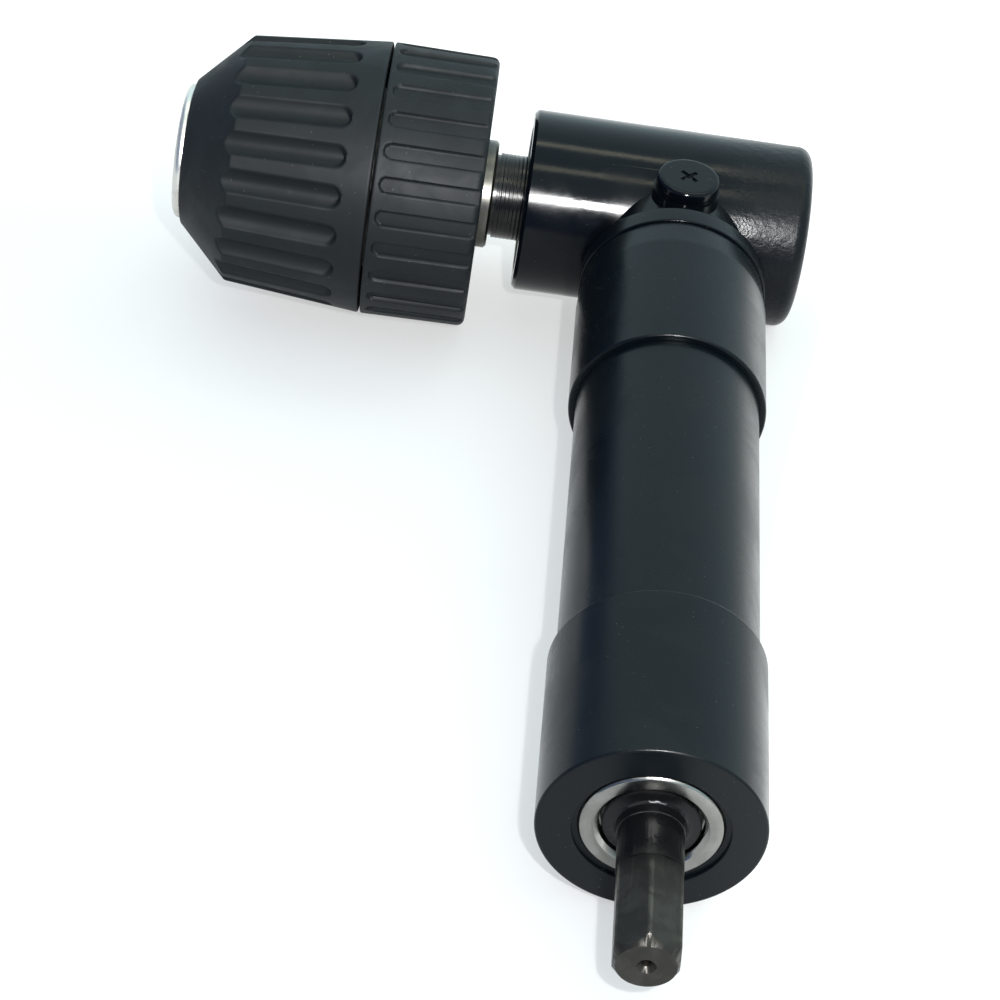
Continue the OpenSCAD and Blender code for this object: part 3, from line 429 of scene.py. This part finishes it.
overrun = 1 * MM
press_gap = 0.02 * MM
gear_room_r = 11 * MM
shaft_room_r = 10.2 * MM
spot_depth = 4 * MM
cast_round = 0.22 * MM
spindle_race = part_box("spindle_bearing_outer_ring")[1]
shaft_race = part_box("shaft_bearing_outer_ring")[1]
end_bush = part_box("spindle_bush")[1]
spindle_seat_start, spindle_seat_r = spindle_race.x, spindle_race.z + press_gap
shaft_seat_end, shaft_seat_r = shaft_race.y, shaft_race.z + press_gap
bush_seat_end, bush_seat_r = end_bush.x, end_bush.z + press_gap
cut_bores(head, [(gear_room_r, -gear_room_r, -spindle_seat_start + overrun),
    (spindle_seat_r, -spindle_seat_start, open_end + overrun),
    (bush_seat_r, -bush_seat_end, 0)], ALONG_OUTPUT)
cut_bores(head, [(shaft_room_r, head_low.y - overrun, axis_y),
    (shaft_seat_r, head_low.y - overrun, shaft_seat_end)], ALONG_HANDLE)
spot_r = boss_r + press_gap
spot_face = lathe("cutter", [(boss_top, spot_r), (boss_top + spot_depth, spot_r)], sides=96)
lay(spot_face, Matrix.Translation((0, plug_y, 0)))
join_solids(head, spot_face, "DIFFERENCE")
round_edges(head, cast_round, angle=30)
finish_piece(head, "housing", "black_paint", head_enamel, "gear_head")

# Grease plug: a turned steel screw plug, painted over with the head, that seals the grease hole.
# Its low round head stands on a soft washer and has a cross recess for a screwdriver.
plug_head_h = 2.1 * MM
plug_seat = plug_high.z - plug_head_h
plug_stem_r = 3 * MM
plug_crown = [(0.45 * MM, 0), (0.12 * MM, 0.28 * MM), (0, 0.75 * MM)]
plug = lathe("grease_plug_screw", [(plug_low.z, plug_stem_r), (plug_seat, plug_stem_r), (plug_seat, plug_r)]
    + [(plug_high.z - down, plug_r - inwards) for down, inwards in plug_crown], sides=128)
lay(plug, Matrix.Translation((0, plug_y, 0)))
slot_len, slot_wide, slot_deep = 3.4 * MM, 0.7 * MM, 0.45 * MM
for turn in (45, 135):
    bpy.ops.mesh.primitive_cube_add(size=1, location=(0, plug_y, plug_high.z),
        rotation=(0, 0, math.radians(turn)), scale=(slot_len, slot_wide, 2 * slot_deep))
    join_solids(plug, bpy.context.object, "DIFFERENCE")
plug_edge = 0.08 * MM
round_edges(plug, plug_edge, angle=25)
finish_piece(plug, "housing", "black_paint", head_enamel, "grease_plug")
repaint(head_enamel, "plug_washer")

# Handle: a steel grip tube with a turned collar at each end, all enamelled black. The neck sleeve
# and the end collar are pressed on the tube's tenons, and their rims are rounded a little.
tube_low, tube_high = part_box("handle_tube")
tube_r = tube_high.z
tube_bore_r = 11 * MM
tube_tenon_r = 13.4 * MM
tenon_seat_r = tube_tenon_r + press_gap
rim = 0.4 * MM
rim_steps = 3
turned_edge = 0.06 * MM


def rim_arc(place, radius, inwards):
    """Points of a small quarter round at a rim: out from a face where the piece goes on to +Y,
    and back to it where it goes on to -Y."""
    made = []
    for k in range(rim_steps + 1):
        a = math.pi / 2 * k / rim_steps
        made.append((place + inwards * rim * (1 - math.cos(a)), radius - rim * (1 - math.sin(a))))
    return made[::inwards]


def turned_piece(name, outline):
    """A ring turned along the handle, its edges just broken."""
    made = lathe(name, outline, sides=256, closed=True)
    lay(made, ALONG_HANDLE)
    round_edges(made, turned_edge, angle=20)
    return made


collar_end = collar_high.y
tube_end = sleeve_low.y
sleeve_r = sleeve_high.z
taper_start = sleeve_high.y - 5 * MM
taper_bend, taper_drop = 1 * MM, 0.06 * MM
lip_bevel = 0.1 * MM
lip_r = band_r - 0.4 * MM
sleeve = turned_piece("neck_sleeve_turned", [(sleeve_low.y, tenon_seat_r)]
    + rim_arc(sleeve_low.y, sleeve_r, 1)
    + [(taper_start - taper_bend, sleeve_r), (taper_start, sleeve_r - taper_drop),
        (sleeve_high.y - lip_bevel, lip_r), (sleeve_high.y, lip_r - lip_bevel),
        (sleeve_high.y, tenon_seat_r)])
finish_piece(sleeve, "housing", "black_paint", handle_enamel, "neck_sleeve")
tube = turned_piece("grip_tube", [(tube_low.y, tube_bore_r), (tube_low.y, tube_tenon_r),
    (collar_end, tube_tenon_r), (collar_end, tube_r), (tube_end, tube_r), (tube_end, tube_tenon_r),
    (tube_high.y, tube_tenon_r), (tube_high.y, tube_bore_r)])
finish_piece(tube, "housing", "black_paint", handle_enamel, "handle_tube")

bush_low, bush_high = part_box("shaft_bush")
bush_r = bush_high.z
groove_r = bush_r + 0.8 * MM
groove_floor = bush_low.y + 0.4 * MM
passage_r = 7.2 * MM
collar_r = collar_high.z
collar = turned_piece("end_collar_turned", [(collar_low.y, groove_r + lip_bevel)]
    + rim_arc(collar_low.y, collar_r, 1) + rim_arc(collar_end, collar_r, -1)
    + [(collar_end, tenon_seat_r), (tube_low.y, tenon_seat_r), (tube_low.y, passage_r),
        (bush_high.y, passage_r), (bush_high.y, bush_r + press_gap), (groove_floor, bush_r + press_gap),
        (groove_floor, groove_r), (collar_low.y + lip_bevel, groove_r)])
finish_piece(collar, "housing", "black_paint", handle_enamel, "end_collar")

# Shaft bush: a bright steel ring pressed in the end collar, just under its face. Its bore has a
# bevel, and the face is left as it came off the lathe.
turning, given, out = node_group("turning marks", ["Radius", "Length", "Lines"], ["Height", "Tone"])
across = node(turning, "CombineXYZ", {"X": given["Radius"], "Y": given["Length"]})
lines = node(turning, "TexNoise", {"Vector": across.outputs["Vector"], "Scale": given["Lines"],
    "Detail": 3, "Roughness": 0.65})
turning.links.new(lines.outputs["Fac"], out["Height"])
slow = node(turning, "TexNoise", {"Vector": across.outputs["Vector"],
    "Scale": times(turning, given["Lines"], 0.14), "Detail": 2})
turning.links.new(slow.outputs["Fac"], out["Tone"])


def axis_distance(tree, a, b):
    """Distance from an axis of a place with two coordinates across it."""
    return math_node(tree, "SQRT", plus(tree, times(tree, a, a), times(tree, b, b)))


def steel(name, direction, dark, light, rough, line_height, metal=1.0):
    """Turned steel: rings round its axis in its height and tone, with smudges over them that stain it and
    change its gloss.
    """
    made, tree, shader, place = new_material(name)
    back = direction.inverted()
    turn = back.to_euler()
    local = node(tree, "Mapping", {"Vector": place, "Location": back.translation, "Rotation": turn})
    parts = node(tree, "SeparateXYZ", {"Vector": local.outputs["Vector"]})
    radius = axis_distance(tree, parts.outputs["X"], parts.outputs["Y"])
    marks = use_group(tree, turning, Radius=radius, Length=parts.outputs["Z"], Lines=7000.0)
    use = use_group(tree, handling, Vector=place, Smudge_Scale=160.0, Dust_Scale=2600.0)
    tone = mix_colours(tree, marks.outputs["Tone"], dark, light)
    grease = (dark[0] * 0.6, dark[1] * 0.56, dark[2] * 0.5)
    stained = mix_colours(tree, times(tree, use.outputs["Smudge"], 0.35), tone, grease)
    gloss = plus(tree, times(tree, use.outputs["Smudge"], 0.15), rough, clamp=True)
    surface(tree, shader, stained, gloss, marks.outputs["Height"], line_height)
    shader.inputs["Metallic"].default_value = metal
    return made


bright_handle = steel("bright steel on the handle axis", ALONG_HANDLE, dark=(0.18, 0.18, 0.17),
    light=(0.29, 0.29, 0.28), rough=0.12, line_height=0.004 * MM)
bush_bore_r = 6.6 * MM
relief_r = bush_bore_r + 0.35 * MM
mouth = 0.6 * MM
bush_bevel = 0.3 * MM
relief_end = bush_low.y + mouth + 1.5 * MM
bush = turned_piece("shaft_bush_turned", [(bush_low.y + mouth, relief_r), (bush_low.y, relief_r + mouth),
    (bush_low.y, bush_r - bush_bevel), (bush_low.y + bush_bevel, bush_r), (bush_high.y, bush_r),
    (bush_high.y, bush_bore_r), (relief_end, bush_bore_r), (relief_end, relief_r)])
finish_piece(bush, "housing", "bright_steel", bright_handle, "shaft_bush")

# Inner pieces of the head and the chuck, which keep their solids' shape. Races, balls, pins and the
# nut's cup are ground steel, cages and the spindle's bush bronze, and the gears, circlips, nut and
# chuck screw blacked steel. The lip seal in the mouth of the head is black rubber.
def on_both_axes(name, **look):
    """The same turned metal twice: with its rings round the handle axis and round the output axis."""
    return (steel(f"{name} on the handle axis", ALONG_HANDLE, **look),
        steel(f"{name} on the output axis", ALONG_OUTPUT, **look))


ground_handle, ground_output = on_both_axes("ground steel", dark=(0.60, 0.61, 0.62),
    light=(0.70, 0.71, 0.72), rough=0.16, line_height=0.001 * MM)
bronze_handle, bronze_output = on_both_axes("bronze", dark=(0.34, 0.22, 0.09),
    light=(0.46, 0.31, 0.13), rough=0.36, line_height=0.003 * MM)
oxide_handle = steel("black oxide on the handle axis", ALONG_HANDLE, dark=(0.030, 0.028, 0.027),
    light=(0.055, 0.051, 0.048), rough=0.42, line_height=0.004 * MM, metal=0.7)
oxide_output = steel("black oxide on the output axis", ALONG_OUTPUT, dark=(0.008, 0.008, 0.0085),
    light=(0.020, 0.019, 0.018), rough=0.20, line_height=0.004 * MM, metal=0.6)
repaint(ground_handle, "shaft_bearing_outer_ring", "shaft_bearing_inner_ring", "shaft_bearing_balls",
    "pinion_spacer", "pinion_pin")
repaint(ground_output, "spindle_bearing_outer_ring", "spindle_bearing_inner_ring", "spindle_bearing_balls",
    "gear_pin", "nut_balls", "nut_cup")
repaint(bronze_handle, "shaft_bearing_cage")
repaint(bronze_output, "spindle_bearing_cage", "spindle_bush", "nut_ball_cage")
repaint(oxide_handle, "shaft_circlip", "bevel_pinion")
repaint(oxide_output, "spindle_circlip", "bevel_gear", "chuck_screw", "split_nut")

rubber, tree, shader, place = new_material("seal rubber")
skin = use_group(tree, ripple, Vector=place, Scale=2500.0, Fine=0.6)
use = use_group(tree, handling, Vector=place, Smudge_Scale=200.0, Dust_Scale=3000.0)
tint = mix_colours(tree, times(tree, use.outputs["Smudge"], 0.5), (0.012, 0.012, 0.012),
    (0.03, 0.029, 0.027))
surface(tree, shader, tint, rough=0.68, height=skin.outputs["Height"], height_scale=0.01 * MM)
repaint(rubber, "dust_seal")

# Input shaft: one turned steel bar with a hexagon milled on its free end, phosphated dark brown.
# The hexagon's corners are chamfered at both ends, and its end face is centre-drilled.
shaft_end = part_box("input_shaft")[1].y
bearing_low, bearing_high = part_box("shaft_bearing_inner_ring")
hex_flats = 8.4 * MM
hex_half = hex_flats / 2
hex_len = 14.6 * MM
hex_turn = math.radians(-4.4)
hex_chamfer = 1.3 * MM
shaft_neck_r = 4.4 * MM
journal_face = bush_low.y + 0.6 * MM
journal_r = bush_bore_r - 0.05 * MM
journal_bevel = 0.2 * MM
journal_end = bush_high.y + 0.15 * MM
journal_cone = 0.4 * MM
shaft_r = 5.2 * MM
shoulder_r = 6.25 * MM
shoulder_len = 6 * MM
bearing_seat_r, pinion_seat_r = 4.98 * MM, 3.98 * MM
bpy.ops.object.select_all(action="DESELECT")
bpy.ops.mesh.primitive_cylinder_add(vertices=6, radius=hex_half / math.cos(math.pi / 6),
    depth=hex_len + overrun, location=(0, 0, (hex_len + overrun) / 2), rotation=(0, 0, hex_turn))
shank = bpy.context.object
bpy.ops.object.transform_apply(location=True, rotation=True, scale=True)
form_tail_r = shaft_neck_r - 0.4 * MM
form = lathe("form", [(0, hex_half - hex_chamfer / 4), (hex_chamfer * 2, hex_half + hex_chamfer),
    (hex_len - hex_chamfer, hex_half + hex_chamfer), (hex_len, shaft_neck_r),
    (hex_len + overrun, form_tail_r)], sides=96)
join_solids(shank, form, "INTERSECT")
# How far before the journal the neck widens, and by how much, in mm
neck_flare = [(1.6, 0), (1.5, 0.1), (0.9, 0.13), (0.4, 0.3), (0.13, 0.57), (0, 1)]
root_r, root_len = shaft_neck_r - 0.5 * MM, 2 * MM
rest_of_shaft = lathe("rest", [(hex_len - root_len, root_r), (hex_len, root_r), (hex_len, shaft_neck_r)]
    + [(journal_face - before * MM, shaft_neck_r + wider * MM) for before, wider in neck_flare]
    + [(journal_face, journal_r - journal_bevel), (journal_face + journal_bevel, journal_r),
        (journal_end, journal_r), (journal_end + journal_cone, shaft_r),
        (bearing_low.y - shoulder_len, shaft_r), (bearing_low.y - shoulder_len, shoulder_r),
        (bearing_low.y, shoulder_r), (bearing_low.y, bearing_seat_r), (bearing_high.y, bearing_seat_r),
        (bearing_high.y, pinion_seat_r), (shaft_end, pinion_seat_r)], sides=128)
join_solids(shank, rest_of_shaft, "UNION")
drill_cone, drill_r, drill_deep = 1.3 * MM, 0.65 * MM, 3 * MM
drill_point, drill_tip_r = 0.3 * MM, 0.05 * MM
drill = lathe("drill", [(-overrun, drill_cone + overrun), (drill_cone - drill_r, drill_r),
    (drill_deep, drill_r), (drill_deep + drill_point, drill_tip_r)], sides=64)
join_solids(shank, drill, "DIFFERENCE")
shank.name = "input_shaft_bar"
lay(shank, ALONG_HANDLE)
shank_edge = 0.12 * MM
round_edges(shank, shank_edge, angle=22)


def phosphate(name, colour, worn_colour, rough, oil=0.0):
    """Dark phosphated steel: a fine crystalline coat with oil stains and rubbed patches, oilier
    from the end of the shank's hexagon on."""
    made, tree, shader, place = new_material(name)
    skin = use_group(tree, ripple, Vector=place, Scale=2600.0, Fine=0.6)
    use = use_group(tree, handling, Vector=place, Smudge_Scale=240.0, Dust_Scale=2600.0)
    rubbed = times(tree, use.outputs["Scratch"], 0.5)
    stained = times(tree, use.outputs["Smudge"], 0.3)
    along = node(tree, "SeparateXYZ", {"Vector": place})
    past_hex = ramp(tree, along.outputs["Y"], low=12 * MM, high=16 * MM)
    oily = times(tree, past_hex, oil)
    reach = axis_distance(tree, along.outputs["X"], along.outputs["Z"])
    corner = times(tree, ramp(tree, reach, low=4.62 * MM, high=4.80 * MM),
        math_node(tree, "SUBTRACT", oil, past_hex), clamp=True)
    patchy = times(tree, corner, plus(tree, use.outputs["Smudge"], 0.35))
    worn = plus(tree, plus(tree, rubbed, stained), patchy, clamp=True)
    tint = mix_colours(tree, worn, colour, worn_colour)
    soaked = mix_colours(tree, oily, tint, (0.007, 0.007, 0.0085))
    gloss = plus(tree, times(tree, use.outputs["Smudge"], -0.08), rough, clamp=True)
    oiled_gloss = math_node(tree, "SUBTRACT", gloss, times(tree, oily, 0.14))
    surface(tree, shader, soaked, oiled_gloss, skin.outputs["Height"], height_scale=0.012 * MM)
    shader.inputs["Metallic"].default_value = 0.55
    shader.inputs["IOR"].default_value = 1.35
    return made


shank_coat = phosphate("phosphated shank", colour=(0.017, 0.0157, 0.0132),
    worn_colour=(0.064, 0.059, 0.050), rough=0.44, oil=0.85)
finish_piece(shank, "input_shaft", "dark_steel", shank_coat, "input_shaft")

# Output spindle: a turned and blacked steel spindle. Its neck, with the marks of the tool still on
# it, shows between the head and the chuck, and a thread inside the chuck's body carries the chuck.
spindle_low, spindle_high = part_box("output_spindle")
hub_face = 30.8 * MM


def carve(piece, rule):
    """Moves each point of a piece, still round local Z, to the radius that a rule gives for its
    place, angle and radius."""
    for point in piece.data.vertices:
        radius = math.hypot(point.co.x, point.co.y)
        if radius > 0:
            share = rule(point.co.z, math.atan2(point.co.y, point.co.x), radius) / radius
            point.co.x *= share
            point.co.y *= share


def rows(start, end, step):
    """Places from one to another, evenly spread, about a step apart."""
    count = max(1, round((end - start) / step))
    return [start + (end - start) * k / count for k in range(count + 1)]


thread_pitch = 1.27 * MM
thread_depth = 0.5 * MM
ring_pitch = 0.65 * MM
ring_depth = 0.05 * MM
spindle_neck_r = spindle_high.z
chuck_thread_r = 6.35 * MM
thread_end = -spindle_low.x
thread_fade = 0.5 * MM
thread_margin = 0.01 * MM
neck_rows_start = open_end - 0.6 * MM
undercut_start = hub_face - 0.6 * MM
undercut_r = spindle_neck_r - 0.35 * MM
rings_start, rings_end = open_end - 0.5 * MM, hub_face - 0.65 * MM
journal_end_r = 4 * MM
spindle_bearing_r = 5.98 * MM
race_front, race_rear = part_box("spindle_bearing_inner_ring")
spindle = lathe("output_spindle_bar", [(-spindle_high.x, journal_end_r), (-race_rear.x, journal_end_r),
    (-race_rear.x, spindle_bearing_r), (-race_front.x, spindle_bearing_r),
    (-race_front.x, spindle_neck_r)]
    + [(p, spindle_neck_r) for p in rows(neck_rows_start, undercut_start, step=0.1 * MM)]
    + [(undercut_start, undercut_r), (hub_face, undercut_r)]
    + [(p, chuck_thread_r) for p in rows(hub_face, thread_end, step=0.2 * MM)], sides=128)


def turned_or_threaded(place, angle, radius):
    """Fine turned rings on the neck that shows, and a thread on the end inside the chuck."""
    if place > hub_face and radius > chuck_thread_r - thread_margin:
        turn = place / thread_pitch + angle / (2 * math.pi)
        fade = min(1, (place - hub_face) / thread_fade, (thread_end - place) / thread_fade)
        return radius - thread_depth * abs((turn % 1) * 2 - 1) * fade
    if rings_start < place < rings_end:
        return radius - ring_depth * (1 - math.cos(2 * math.pi * place / ring_pitch)) / 2
    return radius


carve(spindle, turned_or_threaded)
lay(spindle, ALONG_OUTPUT)
smooth(spindle, angle=40)
finish_piece(spindle, "output_spindle", "dark_steel", oxide_output, "output_spindle")

# Chuck body: a turned steel body whose bright hub shows behind the rear sleeve. Three slanted
# bores guide the jaws, and a bright steel ring is pressed on its nose.
bright_output = steel("bright steel on the output axis", ALONG_OUTPUT, dark=(0.50, 0.485, 0.45),
    light=(0.80, 0.785, 0.74), rough=0.27, line_height=0.005 * MM)
body_steel = steel("turned steel of the chuck", ALONG_OUTPUT, dark=(0.05, 0.048, 0.043),
    light=(0.165, 0.160, 0.143), rough=0.30, line_height=0.006 * MM)
repaint(body_steel, "chuck_body")
ring_low, ring_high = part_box("nose_ring")
ring_r = ring_high.z
ring_bore_r = 9.92 * MM
ring_start, ring_end = -ring_high.x, -ring_low.x
ring_land = 0.5 * MM
ring_face = 0.75 * MM
# Two points of the slope to the ring's face, one placed from its rear and one from its face, each
# with its depth under the ring's outside
ring_shoulder = (0.85 * MM, 0.12 * MM)
ring_cone = (0.15 * MM, 0.5 * MM)
nose_ring = lathe("nose_ring_turned", [(ring_start, ring_bore_r), (ring_start, ring_r),
    (ring_start + ring_land, ring_r), (ring_start + ring_shoulder[0], ring_r - ring_shoulder[1]),
    (ring_end - ring_cone[0], ring_r - ring_cone[1]), (ring_end, ring_r - ring_face),
    (ring_end, ring_bore_r)], sides=256, closed=True)
lay(nose_ring, ALONG_OUTPUT)
round_edges(nose_ring, turned_edge, angle=15)
finish_piece(nose_ring, "output_spindle", "bright_steel", bright_output, "nose_ring")

# Jaws: three hardened steel pins with thread teeth on their backs. They keep the solids' shape,
# with a blacked and oiled finish.
jaw_coat = phosphate("blacked jaws", colour=(0.035, 0.033, 0.032), worn_colour=(0.11, 0.105, 0.10),
    rough=0.36)
repaint(jaw_coat, "jaw_1", "jaw_2", "jaw_3")


# Sleeves: two charcoal nylon mouldings with a fine spark-eroded grain. The rear one is a cup with
# shallow panels that open at its rear edge, pressed on the body. The front one turns the nut, and
# has deep flutes with round rear ends and a 45 degree nose.
def moulding(name, colour, rough, grain_height):
    """Moulded glass-filled nylon: a fine even grain, faint flow tones and a little dust."""
    made, tree, shader, place = new_material(name)
    grain = use_group(tree, ripple, Vector=place, Scale=3200.0, Fine=0.5)
    use = use_group(tree, handling, Vector=place, Smudge_Scale=110.0, Dust_Scale=2200.0)
    pale = tuple(c * 1.5 for c in colour)
    flow = mix_colours(tree, times(tree, use.outputs["Smudge"], 0.55), colour, pale)
    dusty = mix_colours(tree, times(tree, use.outputs["Dust"], 0.35), flow, (0.30, 0.29, 0.27))
    gloss = plus(tree, times(tree, use.outputs["Smudge"], -0.08), rough, clamp=True)
    surface(tree, shader, dusty, gloss, grain.outputs["Height"], grain_height)
    shader.inputs["IOR"].default_value = 1.27
    return made


nylon = moulding("charcoal nylon", colour=(0.0048, 0.0072, 0.0086), rough=0.61,
    grain_height=0.018 * MM)
rear_low, rear_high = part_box("rear_sleeve")
front_low, front_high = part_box("front_sleeve")
rear_start, rear_end = -rear_high.x, -rear_low.x
front_start, front_end = -front_high.x, -front_low.x
chuck_r = rear_high.z
rear_r = chuck_r - 0.2 * MM
rear_round = 1.2 * MM
rear_floor = rear_start + 3.6 * MM
rear_inner_r = rear_r - 2.3 * MM
seat_r = 10.02 * MM
flat_r = 16 * MM
back_rows_start = 16.5 * MM
panel_count, panel_wide, panel_deep = 26, 2.6 * MM, 0.45 * MM
panel_front = rear_end - 1.0 * MM
panel_phase = math.radians(-2)
panel_lip, panel_wall = 0.06 * MM, 0.22 * MM
plain_edge = 0.2 * MM


def soft_step(value, width):
    """0 below zero, 1 above a width, and smooth between them."""
    share = min(1, max(0, value / width))
    return share * share * (3 - 2 * share)


def nearest_copy(angle, count):
    """The angle from the nearest of a number of evenly spread copies."""
    step = 2 * math.pi / count
    return (angle + step / 2) % step - step / 2


def panel_rule(place, angle, radius):
    """A shallow flat panel with a round front end, that opens at the rear edge."""
    if radius < chuck_r - 3 * rear_round or place > rear_end - plain_edge:
        return radius
    across = nearest_copy(angle - panel_phase, panel_count) * rear_r
    centre = panel_front - panel_wide / 2
    reach = math.hypot(across, place - centre) if place > centre else abs(across)
    inside = soft_step(panel_wide / 2 + panel_lip - reach, panel_wall)
    return min(radius, radius - inside * (radius - (rear_r - panel_deep)))


# Rounded edges are lists of how far back from the end and how far inwards their points are
rear_edge = [(0.1 * MM, 0.06 * MM), (0, 0.25 * MM)]
rear_arc = [math.radians(a) for a in range(15, 91, 15)]
rear_rows_end = rear_end - 0.25 * MM
rear_sleeve = lathe("rear_sleeve_moulding", [(rear_start, seat_r), (rear_start, flat_r)]
    + [(rear_start, r) for r in rows(back_rows_start, rear_r - rear_round, step=0.5 * MM)]
    + [(rear_start + rear_round * (1 - math.cos(a)), rear_r - rear_round * (1 - math.sin(a)))
        for a in rear_arc]
    + [(p, rear_r + (chuck_r - rear_r) * (p - rear_start) / (rear_end - rear_start))
        for p in rows(rear_start + rear_round, rear_rows_end, step=0.25 * MM)[1:]]
    + [(rear_end - back, chuck_r - inwards) for back, inwards in rear_edge]
    + [(rear_end, rear_inner_r), (rear_floor, rear_inner_r), (rear_floor, seat_r)],
    sides=panel_count * 26, closed=True)
carve(rear_sleeve, panel_rule)
lay(rear_sleeve, ALONG_OUTPUT)
smooth(rear_sleeve, angle=50)
finish_piece(rear_sleeve, "output_spindle", "charcoal_plastic", nylon, "rear_sleeve")

taper = 2.2 * MM
nose_cone = 8.4 * MM
knee = front_end - nose_cone
knee_r = chuck_r - taper
nose_rim_r = knee_r - nose_cone
nose_hole_r = 10.7 * MM
cup_seat_r = 15.69 * MM
front_inner_r = 20.35 * MM
cup_front, cup_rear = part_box("nut_cup")
flute_count, flute_wide, flute_deep = 21, 4.2 * MM, 1.2 * MM
flute_rear = front_start + 4.4 * MM
flute_phase = math.radians(-14.2)
flute_lip, flute_wall = 0.08 * MM, 0.45 * MM
flute_margin, nose_margin = 0.5 * MM, 0.05 * MM


def taper_r(place):
    """Radius of the front sleeve's tapered grip at a place."""
    return chuck_r - taper * (place - front_start) / (knee - front_start)


def flute_rule(place, angle, radius):
    """A round trough with a steep round rear end, that runs out over the nose."""
    on_grip = place >= flute_rear - flute_margin and radius >= taper_r(place) - nose_cone
    if radius < nose_rim_r - nose_margin or not on_grip:
        return radius
    across = nearest_copy(angle - flute_phase, flute_count) * taper_r(place)
    centre = flute_rear + flute_wide / 2
    reach = math.hypot(across, place - centre) if place < centre else abs(across)
    trough = flute_deep * max(0, 1 - (2 * across / flute_wide) ** 2)
    wall = soft_step(flute_wide / 2 - reach + flute_lip, flute_wall)
    return min(radius, taper_r(place) - trough * wall)


front_edge = [(0, 0.5 * MM), (0.06 * MM, 0.18 * MM)]
nose_edge = [(0.06 * MM, -0.05 * MM), (0, 0.12 * MM)]
grip_start, grip_end = front_start + 0.25 * MM, knee - 0.15 * MM
cone_start, cone_end = 0.1 * MM, nose_cone - 0.2 * MM
front_sleeve = lathe("front_sleeve_moulding", [(front_start, front_inner_r)]
    + [(front_start + back, chuck_r - inwards) for back, inwards in front_edge]
    + [(p, taper_r(p)) for p in rows(grip_start, grip_end, step=0.24 * MM)]
    + [(knee + p, knee_r - p) for p in rows(cone_start, cone_end, step=0.25 * MM)]
    + [(front_end - back, nose_rim_r - inwards) for back, inwards in nose_edge]
    + [(front_end, nose_hole_r), (front_end - nose_cone, nose_hole_r), (-cup_front.x, cup_seat_r),
        (-cup_rear.x, cup_seat_r), (-cup_rear.x, front_inner_r)], sides=flute_count * 30, closed=True)
carve(front_sleeve, flute_rule)
lay(front_sleeve, ALONG_OUTPUT)
smooth(front_sleeve, angle=50)
finish_piece(front_sleeve, "chuck_sleeve", "charcoal_plastic", nylon, "front_sleeve")
